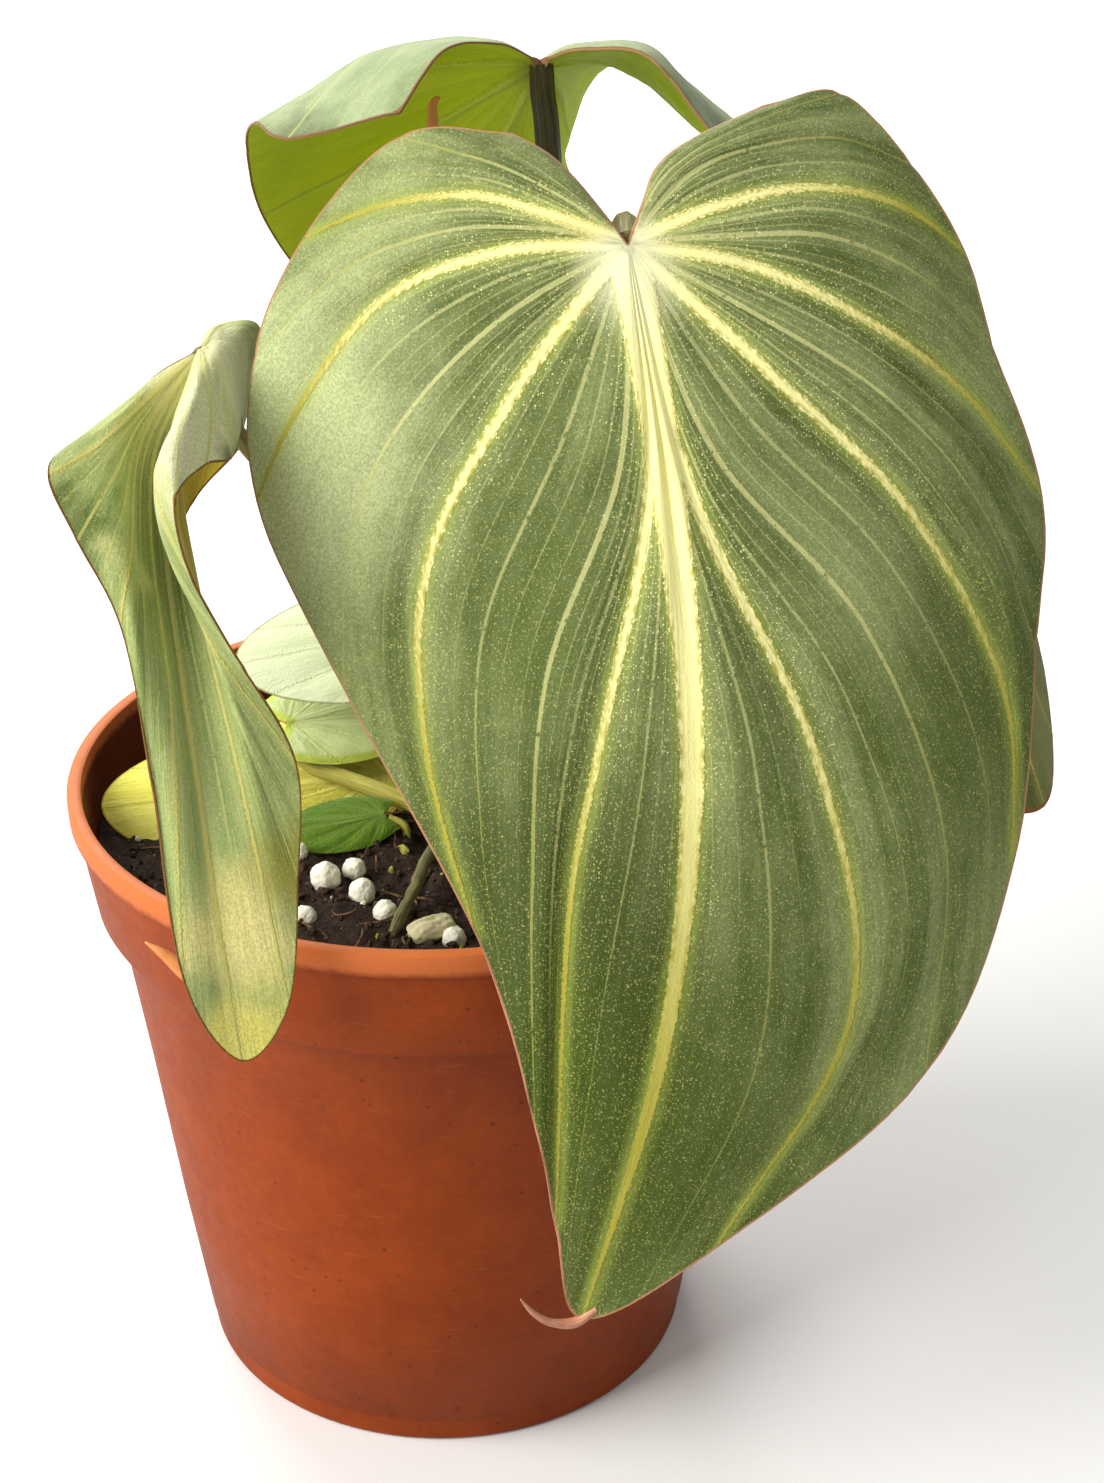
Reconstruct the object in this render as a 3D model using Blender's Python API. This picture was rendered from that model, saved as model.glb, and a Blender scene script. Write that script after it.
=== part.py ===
"""Philodendron gloriosum in a round plastic nursery pot.

The plant creeps: a short rhizome lies half sunk in the soil and every leaf stalk rises from it.
Blades hang from their stalks with the tip down. Lengths in the tables are millimetres, and
MM turns them into Blender's metres. +Z is up, the pot stands on z = 0 with its axis on the
origin, and the large front leaf faces -Y.
"""
import math
import random

import bpy
import numpy as np
from mathutils import Quaternion, Vector, noise

MM = 0.001

# Clearances and walls
GAP = 0.3
BLADE = 0.8
HOLE_LENGTH = 12.0

# Pot
POT_HEIGHT = 107.0
RIM_RADIUS = 60.0
COLLAR_RADIUS = 56.6
COLLAR_FOOT = 86.5
BODY_RADIUS = 53.4
BASE_RADIUS = 42.0
WALL = 1.4
LIP_WIDTH = 2.4
FLOOR = 1.6
POT_SEGMENTS = 64
DRAIN_HOLES = 6
DRAIN_RADIUS = 4.0
DRAIN_CIRCLE = 27.0

# Soil
SOIL_LEVEL = 96.0
SOIL_RINGS = 9
CLOD_HEIGHT = 1.6
CLOD_SIZE = 7.0

# Rhizome, by the points along its middle and its radius at each
RHIZOME_PATH = (
    (-2.0, -3.0, 99.0), (3, -1.6, 98.7), (14, 2.0, 98.4), (24, 5.5, 98.2), (34, 9.0, 98.0), (39, 11, 97.6)
)
RHIZOME_RADII = (3.4, 4.8, 5.6, 5.4, 4.6, 2.6)

# Front leaf: the plane it hangs in, and its ribs as (across, down) from the stalk
FRONT_STALK = (29.5, -28.0, 203.0)
FRONT_TILT = math.radians(25)
FRONT_RIBS = (
    ((-3, -4), (-7, -9), (-11, -13), (-16, -16)),
    ((-7, -5), (-16, -10), (-24, -13), (-32, -16)),
    ((-11, -4), (-22, -7), (-35, -6), (-46, -2)),
    ((-12, -2), (-25, -2), (-40, 3), (-53, 14)),
    ((-18, 1), (-34, 7), (-46, 21), (-53, 35)),
    ((-17, 10), (-31, 24), (-39, 41), (-40, 62)),
    ((-16, 21), (-28, 45), (-28, 71), (-21, 97)),
    ((-1, 31), (-11, 60), (-13, 90), (-13, 124)),
    ((3, 34), (-3, 66), (-8, 93), (-10, 139)),
    ((6, 37), (9, 75), (5, 113), (-6, 153)),
    ((9.5, 36), (26, 70), (32, 107), (13, 142)),
    ((12, 29), (33, 53), (45, 84), (43, 117)),
    ((20, 18), (40, 37), (54, 62), (56, 87)),
    ((18, 10), (36, 21), (50, 36), (59, 56)),
    ((17, 3), (33, 10), (48, 20), (60, 34)),
    ((14, -1), (28, -1), (41, 4), (52, 13)),
    ((12, -5), (25, -8), (38, -6), (48, 0)),
    ((8, -9), (17, -13), (29, -15), (40, -12)),
    ((4, -8), (10, -13), (20, -18), (30, -22)),
    ((2, -6), (4, -11), (9, -15), (19, -20)),
)
FRONT_MIDRIB = 9
FRONT_VEINS = (2, 4, 6, 8, 10, 12, 14, 16)

# Rear leaf, seen from beneath: its ribs run from the right edge of the sinus to the left one
REAR_STALK = (17.2, 18.0, 217.2)
REAR_RIBS = (
    ((23, 14, 220), (33, 6, 221), (42, -2, 212)),
    ((23, 18, 219), (34, 15, 219), (44, 8, 208)),
    ((23, 24, 218), (33, 28, 216), (48, 30, 205)),
    ((23, 30, 215), (32, 42, 212), (44, 52, 197)),
    ((23, 38, 213), (29, 56, 208), (36, 70, 201)),
    ((22, 44, 210), (25, 68, 204), (28, 86, 200)),
    ((20, 50, 205), (21, 78, 194), (22, 98, 184)),
    ((19, 50, 203), (20, 80, 189), (23, 104, 174)),
    ((19, 52, 196), (22, 80, 175), (32, 100, 147)),
    ((18, 52, 192), (20, 78, 164), (21, 100, 131)),
    ((9, 50, 194), (-1, 72, 168), (-9, 84, 143)),
    ((5, 48, 197), (-11, 62, 178), (-23, 64, 167)),
    ((3, 44, 203), (-15, 50, 192), (-29, 44, 186)),
    ((3, 38, 209), (-15, 38, 204), (-29, 28, 201)),
    ((5, 32, 214), (-12, 28, 213), (-26, 14, 209)),
    ((6, 26, 218), (-9, 18, 217), (-20, 4, 209)),
    ((11, 14, 221), (3, 4, 222), (-3, -4, 215)),
)
REAR_MIDRIB = 9
REAR_VEINS = (2, 4, 6, 8, 10, 12, 14)

# Left leaf, drooping and yellowing: its right lobe folds back behind it
LEFT_STALK = (-31.5, -22.0, 185.5)
LEFT_RIBS = (
    ((-37, -24, 183), (-43, -28, 179), (-50, -34, 175)),
    ((-39, -27, 180), (-45, -36, 176), (-51, -42, 174)),
    ((-40, -28, 177), (-43, -40, 172), (-47, -46, 166)),
    ((-40, -29, 174), (-40, -46, 163), (-41, -51, 155)),
    ((-40, -30, 171), (-38, -51, 153), (-37, -60, 137)),
    ((-39, -30, 168), (-34, -57, 141), (-33, -68, 112)),
    ((-37, -30, 164), (-31, -57, 133), (-25, -69, 95)),
    ((-34, -33, 168), (-25, -56, 135), (-19, -66, 102)),
    ((-35, -35, 171), (-26, -53, 146), (-17, -60, 120)),
    ((-34, -37, 175), (-30, -50, 156), (-17, -55, 136)),
    ((-33, -38, 178), (-34, -48, 166), (-24, -53, 150)),
    ((-33, -38, 179), (-35, -48, 173), (-30, -54, 163)),
    ((-31, -35, 182), (-32, -45, 179), (-32, -52, 173)),
    ((-30, -30, 182), (-29, -35, 178), (-29, -43, 175)),
    ((-29, -25, 183), (-28, -30, 179), (-26, -36, 174)),
    ((-29, -17, 185), (-27, -15, 182), (-27, -16, 173)),
    ((-30, -10, 185), (-25, -2, 181), (-30, 2, 161)),
    ((-32, -6, 182), (-32, 4, 168), (-38, 8, 150)),
    ((-33, -12, 182), (-41, 2, 161), (-44, 6, 139)),
)
LEFT_MIDRIB = 6
LEFT_VEINS = (1, 3, 5, 7, 9, 11, 13, 16)

# Small leaves: stalk end, tip, the way the upper face looks, half width, droop of the tip
SMALL_LEAVES = {
    "leaf_right": ((77, 16, 154), (105, 3, 98), (0.72, -0.55, 0.42), 21.0, 5.0),
    "leaf_mid": ((4, 14, 126), (-32.5, 5, 124), (0.0, -0.6, 0.8), 11.0, 3.0),
    "leaf_low": ((-25, 8, 110), (6, 20, 114), (0.0, -0.46, 0.89), 10.0, 2.5),
    "leaf_young": ((-8.4, -6, 100.4), (-25.5, -10, 99.2), (0.0, -0.5, 0.87), 5.0, 0.8),
    "leaf_old": ((-8, 8, 102.6), (-53, 8, 102.2), (0.05, -0.7, 0.7), 6.0, 1.0),
}
SMALL_COLOURS = {
    "leaf_right": (0.22, 0.27, 0.09),
    "leaf_mid": (0.50, 0.62, 0.45),
    "leaf_low": (0.55, 0.66, 0.46),
    "leaf_young": (0.27, 0.42, 0.15),
    "leaf_old": (0.72, 0.70, 0.20),
}

# Leaf stalks: the points along each from its foot up, and its radius at foot and top
STALKS = {
    "petiole_front": (
        ((14, 2, 99.5), (15, 4, 125), (19, 4, 160), (26, -3, 190), (29, -13, 200.6), (29.5, -20, 203.0),
         (29.5, -24.8, 202.8)), 2.1, 1.5),
    "petiole_rear": (
        ((24, 5.5, 99.5), (23, 10, 130), (20, 16, 170), (18.4, 17.5, 204), (17.6, 18.5, 212),
         (17.5, 19.6, 214.8)), 2.0, 1.8),
    "petiole_left": (
        ((8.5, 0.2, 99.5), (6, -4, 130), (-4, -6, 148), (-16, -8, 158), (-24, -12, 164), (-29, -16, 173),
         (-31, -19, 180)), 1.8, 1.2),
    "petiole_right": (
        ((32, 8.2, 99.5), (38, 12, 120), (52, 17, 141), (67, 19, 153), (76.0, 16.9, 154.6)), 1.8, 1.2),
    "petiole_mid": (
        ((19, 4, 99.8), (17, 11, 113), (11, 15.5, 123), (5.4, 15.0, 125.2)), 1.2, 0.9),
    "petiole_low": (
        ((0.2, -2.7, 99.4), (-7.6, 0, 100.9), (-15.2, 3, 102.4), (-20.5, 4.6, 103.6), (-23.4, 6.2, 105.8),
         (-24.3, 7.2, 107.3)), 1.5, 1.0),
}
STALK_COLOURS = {
    "petiole_front": (0.30, 0.30, 0.12),
    "petiole_rear": (0.09, 0.07, 0.03),
    "petiole_left": (0.33, 0.36, 0.12),
    "petiole_right": (0.22, 0.27, 0.09),
    "petiole_mid": (0.30, 0.36, 0.14),
    "petiole_low": (0.42, 0.45, 0.11),
}

# Stalks of the two leaves that rise straight out of the soil
SOIL_STALKS = {
    "petiole_young": (
        ((-4.4, -6.4, 93.0), (-4.8, -6.4, 97.5), (-5.6, -6.2, 99.0), (-6.8, -6.0, 99.4)), 0.8, 0.6),
    "petiole_old": (
        ((-4.4, 7.4, 92.5), (-4.8, 7.6, 97.5), (-5.6, 8.2, 100.6), (-6.4, 8.8, 101.6)), 1.1, 0.8),
}

# New leaf, still rolled, with a hooked tip
NEW_LEAF_PATH = ((4.6, -1.0, 99.8), (3.2, 0.0, 120), (1.6, 2.6, 160), (1.2, 4.0, 200), (1.3, 4.0, 212),
                 (1.6, 3.9, 214.6), (2.4, 3.8, 215.4))
NEW_LEAF_RADII = (1.9, 2.2, 2.3, 1.5, 0.8, 0.6, 0.45)

# Dry stub of a root that leans from the rhizome to the soil
ROOT_PATH = ((3.0, -7.2, 98.7), (1.4, -14, 101.0), (-0.6, -21, 101.2), (-2.4, -28, 99.8), (-4.2, -33, 98),
             (-6.0, -37, 95.6), (-6.4, -38.6, 93))
ROOT_RADII = (1.0, 1.0, 1.0, 0.95, 0.9, 0.8, 0.7)

# Red scale leaf that once wrapped a bud: its middle line and half width at each point
SCALE_PATH = ((-13.0, 20.0, 92.5), (-13.2, 20.4, 97), (-13.4, 19.8, 101), (-12.8, 18.4, 104.5))
SCALE_RADII = (2.2, 2.4, 1.8, 0.5)

# White perlite balls on the soil, by place and radius
PERLITE = (
    (-17.0, -21.2, 2.5),
    (-12.6, -18.4, 1.9),
    (-11.0, -24.8, 2.2),
    (-7.0, -30.4, 1.9),
    (-19.5, -31.0, 1.9),
    (4.0, -38.0, 1.9),
    (-22.0, -13.5, 1.6),
    (24.0, 33.0, 2.2),
    (-18.0, 38.0, 2.4),
    (42.0, -12.0, 2.0),
)

# Bark chip on the soil in front of the rhizome
BARK_PLACE = (0.6, -35.4)
BARK_SIZE = (8.0, 4.6, 3.2)


def clear_scene():
    """Remove what the start-up scene holds."""
    for item in list(bpy.data.objects):
        bpy.data.objects.remove(item, do_unlink=True)


def finish(name, colour, roughness):
    """Make a plain material."""
    material = bpy.data.materials.new(name)
    material.use_nodes = True
    shader = material.node_tree.nodes["Principled BSDF"]
    shader.inputs["Base Color"].default_value = (*colour, 1)
    shader.inputs["Roughness"].default_value = roughness
    shader.inputs["Metallic"].default_value = 0
    return material


def add_body(name, points, faces, material, crease=40):
    """Put a closed mesh, given in millimetres, into the scene."""
    mesh = bpy.data.meshes.new(name)
    mesh.from_pydata([tuple(float(v) * MM for v in p) for p in points], [], faces)
    mesh.materials.append(material)
    mesh.shade_smooth()
    mesh.set_sharp_from_angle(angle=math.radians(crease))
    body = bpy.data.objects.new(name, mesh)
    bpy.context.scene.collection.objects.link(body)
    return body


def cut(body, cutter):
    """Cut one body with another that is kept as a hidden guide."""
    cutter.hide_render = True
    cutter.display_type = "WIRE"
    modifier = body.modifiers.new("cut_" + cutter.name, "BOOLEAN")
    modifier.operation = "DIFFERENCE"
    modifier.solver = "EXACT"
    modifier.object = cutter


def spline(points, places):
    """Read a smooth curve through points, along the first axis, at places from 0 to the last."""
    points = np.asarray(points, float)
    before = 2 * points[:1] - points[1:2]
    after = 2 * points[-1:] - points[-2:-1]
    padded = np.concatenate([before, points, after])
    start = np.clip(np.floor(places).astype(int), 0, len(points) - 2)
    t = (places - start).reshape((-1,) + (1,) * (points.ndim - 1))
    a, b, c, d = (padded[start + k] for k in range(4))
    bend = 2 * a - 5 * b + 4 * c - d
    twist = 3 * (b - c) + d - a
    return b + 0.5 * t * (c - a + t * (bend + t * twist))


def lathe(name, profile, segments, material):
    """Turn a profile that starts and ends on the axis."""
    inner = profile[1:-1]
    points = [(0, 0, profile[0][1])]
    for radius, height in inner:
        for k in range(segments):
            angle = math.tau * k / segments
            points.append((radius * math.cos(angle), radius * math.sin(angle), height))
    points.append((0, 0, profile[-1][1]))
    faces = []
    last = len(points) - 1
    for k in range(segments):
        n = (k + 1) % segments
        faces.append((0, 1 + n, 1 + k))
        for row in range(len(inner) - 1):
            low = 1 + row * segments
            high = low + segments
            faces.append((low + k, low + n, high + n, high + k))
        top = 1 + (len(inner) - 1) * segments
        faces.append((top + k, top + n, last))
    return add_body(name, points, faces, material)


def tube(name, path, radii, sides, steps, material, grow=0.0):
    """Closed round tube through the points of a path, with a radius at each."""
    places = np.linspace(0, len(path) - 1, (len(path) - 1) * steps + 1)
    middle = [Vector(p) for p in spline(path, places)]
    widths = spline(np.array(radii, float).reshape(-1, 1), places)[:, 0] + grow
    aim = (middle[1] - middle[0]).normalized()
    middle[0] -= aim * grow
    middle[-1] += (middle[-1] - middle[-2]).normalized() * grow
    side = aim.orthogonal().normalized()
    points = [middle[0]]
    for k, centre in enumerate(middle):
        ahead = middle[min(k + 1, len(middle) - 1)] - middle[max(k - 1, 0)]
        ahead.normalize()
        side = aim.rotation_difference(ahead) @ side
        aim = ahead
        for j in range(sides):
            turned = Quaternion(aim, math.tau * j / sides) @ side
            points.append(centre + turned * float(widths[k]))
    points.append(middle[-1])
    faces = []
    last = len(points) - 1
    top = last - sides
    for j in range(sides):
        n = (j + 1) % sides
        faces.append((0, 1 + n, 1 + j))
        faces.append((top + j, top + n, last))
        for k in range(len(middle) - 1):
            low = 1 + k * sides
            faces.append((low + j, low + n, low + sides + n, low + sides + j))
    return add_body(name, points, faces, material, 60)


def even_radii(path, foot, top):
    """Radius at each point of a stalk that tapers evenly."""
    return tuple(foot + (top - foot) * k / (len(path) - 1) for k in range(len(path)))


def triangles_of(columns, rows):
    """Triangles of a fan sheet: one point, then rows of points, split alike on both faces."""
    found = [(0, 1 + j, 2 + j) for j in range(columns - 1)]
    for row in range(rows - 1):
        near = 1 + row * columns
        far = near + columns
        for j in range(columns - 1):
            found.append((near + j, far + j, far + j + 1))
            found.append((near + j, far + j + 1, near + j + 1))
    return found


def point_normals(points, triangles):
    """Mean normal of the triangles round each point."""
    triangles = np.asarray(triangles)
    a, b, c = (points[triangles[:, k]] for k in range(3))
    faces = np.cross(b - a, c - a)
    normals = np.zeros_like(points)
    for k in range(3):
        np.add.at(normals, triangles[:, k], faces)
    return normals / np.linalg.norm(normals, axis=1)[:, None]


def sheet_edge(columns, rows):
    """Indices round the edge of a fan sheet, in order."""
    last = 1 + (rows - 1) * columns
    left = [0] + [1 + row * columns for row in range(rows - 1)]
    outer = [last + j for j in range(columns)]
    right = [columns + row * columns for row in range(rows - 2, -1, -1)]
    return left + outer + right


def blade(name, stalk, ribs, midrib, veins, rows, swell, ridges, material):
    """Leaf blade as one thin solid, with its main veins raised beneath.

    Ribs fan out from the end of the stalk and go once round the leaf. The blade swells
    between its main veins by the given height, and ridges is how tall the midrib stands.
    """
    fan = np.array([[stalk, *rib] for rib in ribs], float)
    columns = 2 * len(ribs) - 1
    across = np.linspace(0, len(ribs) - 1, columns)
    down = np.linspace(0, fan.shape[1] - 1, rows + 1)
    grid = spline(spline(fan, across).swapaxes(0, 1), down)
    points = np.concatenate([grid[0, :1], grid[1:].reshape(-1, 3)])
    triangles = triangles_of(columns, rows)
    normals = point_normals(points, triangles)
    main = sorted((0, len(ribs) - 1, midrib, *veins))
    crown = np.zeros(columns)
    ridge = np.zeros(columns)
    for first, second in zip(main, main[1:]):
        inside = (across >= first) & (across <= second)
        crown[inside] = np.sin(math.pi * (across[inside] - first) / (second - first))
    ridge[[2 * vein for vein in veins]] = ridges / 2
    ridge[2 * midrib] = ridges
    reach = np.repeat(down[1:] / down[-1], columns)
    lift = np.concatenate([[0], np.tile(crown, rows) * np.sin(math.pi * reach * 0.9) * swell])
    rib = np.concatenate([[0], np.tile(ridge, rows) * (1 - 0.85 * reach)])
    upper = points + normals * (lift + BLADE / 2)[:, None]
    lower = points + normals * (lift - BLADE / 2 - rib)[:, None]
    count = len(points)
    faces = list(triangles) + [(c + count, b + count, a + count) for a, b, c in triangles]
    edge = sheet_edge(columns, rows)
    for here, there in zip(edge, edge[1:] + edge[:1]):
        faces.append((here, here + count, there + count))
        faces.append((here, there + count, there))
    return add_body(name, np.concatenate([upper, lower]), faces, material, 50)


def front_point(across, down):
    """Place a point of the front leaf's plane, with the leaf's own sag."""
    right = np.array((1.0, 0, 0))
    fall = np.array((0, -math.sin(FRONT_TILT), -math.cos(FRONT_TILT)))
    out = np.array((0, -math.cos(FRONT_TILT), math.sin(FRONT_TILT)))
    sides = -0.0042 * (across - 4) ** 2
    lobes = -0.010 * min(down, 0) ** 2
    tip = -0.0022 * max(down - 85, 0) ** 2
    return np.array(FRONT_STALK) + across * right + down * fall + (sides + lobes + tip) * out


def heart_ribs(stalk, tip, face, half_width, droop):
    """Ribs of a small heart-shaped leaf between its stalk and its tip."""
    start = np.array(stalk, float)
    axis = np.array(tip, float) - start
    length = np.linalg.norm(axis)
    axis /= length
    out = np.array(face, float) - np.dot(face, axis) * axis
    out /= np.linalg.norm(out)
    left = np.cross(axis, out)
    ribs = []
    for k in range(9):
        turn = math.pi * 0.84 * (k / 4 - 1)
        side = half_width * math.sin(turn) * (1 - 0.12 * math.cos(turn)) * -1
        along = length * ((1 + math.cos(turn)) / 2) ** 0.9 - 0.22 * length * (1 - math.cos(turn)) / 2
        rib = []
        for reach in (0.25, 0.5, 0.75, 1.0):
            sag = droop * (max(along, 0) * reach / length) ** 2
            sag += 0.18 * abs(side) * reach ** 2
            bow = 1 + 0.25 * math.sin(math.pi * reach) * (1 - abs(math.cos(turn)))
            place = start + axis * along * reach - left * side * reach * bow - out * sag
            rib.append(place)
        ribs.append(rib)
    return ribs


def pot_wall(height):
    """Inner radius of the pot at a height above its floor."""
    profile = ((FLOOR + 0.8, BASE_RADIUS - WALL + 0.1), (COLLAR_FOOT - 1.2, BODY_RADIUS - WALL),
               (COLLAR_FOOT + 1.6, COLLAR_RADIUS - WALL - 0.6), (POT_HEIGHT - 2.5, RIM_RADIUS - LIP_WIDTH))
    heights, radii = zip(*profile)
    return float(np.interp(height, heights, radii))


def make_pot():
    """Thin pot with a deep collar under a small lip, and drain holes round its floor."""
    plastic = finish("terracotta plastic", (0.52, 0.17, 0.05), 0.45)
    lip = RIM_RADIUS - LIP_WIDTH
    outside = [
        (0, 0), (BASE_RADIUS - 0.8, 0), (BASE_RADIUS, 0.8), (BASE_RADIUS + 0.1, 4.0),
        (BASE_RADIUS + 0.7, 5.0), (BODY_RADIUS, COLLAR_FOOT - 1.5), (BODY_RADIUS + 0.5, COLLAR_FOOT - 0.6),
        (COLLAR_RADIUS - 1.2, COLLAR_FOOT), (COLLAR_RADIUS, COLLAR_FOOT + 1.2),
        (RIM_RADIUS - 1.2, POT_HEIGHT - 4.4), (RIM_RADIUS - 0.1, POT_HEIGHT - 3.6),
        (RIM_RADIUS, POT_HEIGHT - 0.8), (RIM_RADIUS - 0.6, POT_HEIGHT), (lip + 0.6, POT_HEIGHT),
    ]
    inside = [(lip, POT_HEIGHT - 0.6)]
    for height in (POT_HEIGHT - 2.5, COLLAR_FOOT + 1.6, COLLAR_FOOT - 1.2, FLOOR + 0.8):
        inside.append((pot_wall(height), height))
    inside += [(BASE_RADIUS - WALL - 0.8, FLOOR), (0, FLOOR)]
    pot = lathe("pot", outside + inside, POT_SEGMENTS, plastic)
    for k in range(DRAIN_HOLES):
        angle = math.tau * (k + 0.5) / DRAIN_HOLES
        place = (DRAIN_CIRCLE * math.cos(angle), DRAIN_CIRCLE * math.sin(angle))
        path = ((*place, -2), (*place, FLOOR + 0.15))
        cut(pot, tube("drain_guide_%d" % k, path, (DRAIN_RADIUS, DRAIN_RADIUS), 16, 1, plastic))
    return pot


def clod(x, y, level):
    """Height of the lumpy soil above a point, flat where it meets the wall."""
    coarse = noise.noise(Vector((x, y, 3.0)) / CLOD_SIZE)
    fine = 0.5 * noise.noise(Vector((x, y, 9.0)) * 2.3 / CLOD_SIZE)
    return level + CLOD_HEIGHT * (coarse + fine) * (1 - (math.hypot(x, y) / pot_wall(level)) ** 6)


def make_soil():
    """Soil that fills the pot, with a lumpy top."""
    earth = finish("potting soil", (0.045, 0.030, 0.020), 0.95)
    profile = [(0, FLOOR + GAP), (BASE_RADIUS - WALL - 0.8 - GAP, FLOOR + GAP)]
    for height in (FLOOR + 0.8 + GAP, COLLAR_FOOT - 1.2, COLLAR_FOOT + 1.6, SOIL_LEVEL):
        profile.append((pot_wall(height) - GAP * 1.2, height))
    rim = profile[-1][0]
    for ring in range(1, SOIL_RINGS):
        profile.append((rim * (1 - ring / SOIL_RINGS), SOIL_LEVEL))
    profile.append((0, SOIL_LEVEL))
    soil = lathe("soil", profile, POT_SEGMENTS, earth)
    for vertex in soil.data.vertices:
        x, y, z = (v / MM for v in vertex.co)
        if z > SOIL_LEVEL - 0.01:
            vertex.co.z = clod(x, y, SOIL_LEVEL) * MM
    return soil


def make_rhizome(soil):
    """Creeping stem, lying in a trough of its own shape in the soil."""
    bark = finish("rhizome skin", (0.16, 0.12, 0.06), 0.8)
    rhizome = tube("rhizome", RHIZOME_PATH, RHIZOME_RADII, 14, 3, bark)
    cut(soil, tube("rhizome_guide", RHIZOME_PATH, RHIZOME_RADII, 14, 3, bark, GAP * 1.4))
    return rhizome


def stand(carrier, name, path, radii, sides, steps, material):
    """Make a stalk whose foot stands in a plain hole in what carries it."""
    stalk = tube(name, path, radii, sides, steps, material)
    foot = Vector(path[0])
    aim = (Vector(path[1]) - foot).normalized()
    hole = (tuple(foot - aim * GAP), tuple(foot + aim * HOLE_LENGTH))
    cut(carrier, tube(name + "_hole", hole, (radii[0] + GAP, radii[0] + GAP), sides + 4, 1, material))
    return stalk


def make_petioles(rhizome, soil):
    """Leaf stalks on the rhizome, and two small ones straight from the soil."""
    for name, (path, foot, top) in STALKS.items():
        skin = finish(name + " skin", STALK_COLOURS[name], 0.5)
        stand(rhizome, name, path, even_radii(path, foot, top), 10, 3, skin)
    for name, (path, foot, top) in SOIL_STALKS.items():
        skin = finish(name + " skin", (0.40, 0.42, 0.12), 0.5)
        stand(soil, name, path, even_radii(path, foot, top), 8, 2, skin)


def make_large_leaves():
    """Front, rear and left blades."""
    green = finish("front blade", (0.13, 0.20, 0.08), 0.6)
    ribs = [[front_point(*station) for station in rib] for rib in FRONT_RIBS]
    blade("leaf_front", FRONT_STALK, ribs, FRONT_MIDRIB, FRONT_VEINS, 12, 1.4, 1.0, green)
    bright = finish("rear blade", (0.30, 0.42, 0.04), 0.55)
    blade("leaf_rear", REAR_STALK, REAR_RIBS, REAR_MIDRIB, REAR_VEINS, 8, 0.8, 0.8, bright)
    olive = finish("left blade", (0.34, 0.36, 0.13), 0.6)
    blade("leaf_left", LEFT_STALK, LEFT_RIBS, LEFT_MIDRIB, LEFT_VEINS, 8, 0.3, 0.3, olive)


def make_small_leaves():
    """Five small blades round the pot."""
    for name, shape in SMALL_LEAVES.items():
        skin = finish(name + " blade", SMALL_COLOURS[name], 0.6)
        blade(name, shape[0], heart_ribs(*shape), 4, (1, 2, 3, 5, 6, 7), 5, 0.3, 0.3, skin)


def make_new_leaf(rhizome):
    """Rolled new leaf that stands on the tip of the rhizome."""
    skin = finish("new leaf skin", (0.45, 0.38, 0.12), 0.5)
    stand(rhizome, "new_leaf", NEW_LEAF_PATH, NEW_LEAF_RADII, 10, 3, skin)


def make_litter(soil):
    """What lies on the soil: a root stub, a scale leaf, perlite and a bark chip."""
    root = finish("root skin", (0.26, 0.25, 0.10), 0.85)
    tube("root_stub", ROOT_PATH, ROOT_RADII, 8, 3, root)
    cut(soil, tube("root_guide", ROOT_PATH, ROOT_RADII, 8, 3, root, GAP))
    red = finish("scale leaf skin", (0.28, 0.03, 0.02), 0.5)
    tube("scale_leaf", SCALE_PATH, SCALE_RADII, 10, 3, red)
    cut(soil, tube("scale_guide", SCALE_PATH, SCALE_RADII, 10, 3, red, GAP))
    white = finish("perlite", (0.78, 0.75, 0.62), 0.9)
    for number, (x, y, radius) in enumerate(PERLITE, 1):
        centre = (x, y, clod(x, y, SOIL_LEVEL) + radius * 0.55)
        ball("perlite_%02d" % number, centre, radius, white, number)
        cut(soil, ball("perlite_guide_%02d" % number, centre, radius + GAP * 1.3, white, number))
    make_bark(soil)


def ball(name, centre, radius, material, seed):
    """Slightly lumpy closed ball."""
    bpy.ops.mesh.primitive_ico_sphere_add(subdivisions=2, radius=radius * MM, location=Vector(centre) * MM)
    body = bpy.context.object
    body.name = name
    draw = random.Random(seed)
    for vertex in body.data.vertices:
        vertex.co *= draw.uniform(0.94, 1.0)
    body.data.materials.append(material)
    body.data.shade_smooth()
    return body


def chip(name, grow, material):
    """Blunt wedge of bark."""
    x, y = BARK_PLACE
    long, wide, tall = (size / 2 + grow for size in BARK_SIZE)
    centre = Vector((x, y, clod(x, y, SOIL_LEVEL) + 0.9))
    turn = Quaternion((0, 0, 1), math.radians(28)) @ Quaternion((1, 0, 0), math.radians(12))
    points = []
    for level, shrink in ((-1, 0.8), (0.1, 1.0), (1, 0.6)):
        for k in range(8):
            angle = math.tau * k / 8
            corner = Vector((math.cos(angle) * long * shrink, math.sin(angle) * wide * shrink, level * tall))
            points.append(centre + turn @ corner)
    faces = [tuple(range(7, -1, -1)), tuple(range(16, 24))]
    for row in (0, 8):
        for k in range(8):
            n = (k + 1) % 8
            faces.append((row + k, row + n, row + 8 + n, row + 8 + k))
    return add_body(name, points, faces, material)


def make_bark(soil):
    """Bark chip, bedded in the soil."""
    wood = finish("bark", (0.42, 0.36, 0.18), 0.9)
    chip("bark_chip", 0.0, wood)
    cut(soil, chip("bark_guide", GAP, wood))


def main():
    """Build the whole plant in its pot."""
    clear_scene()
    make_pot()
    soil = make_soil()
    rhizome = make_rhizome(soil)
    make_petioles(rhizome, soil)
    make_new_leaf(rhizome)
    make_large_leaves()
    make_small_leaves()
    make_litter(soil)


main()
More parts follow.
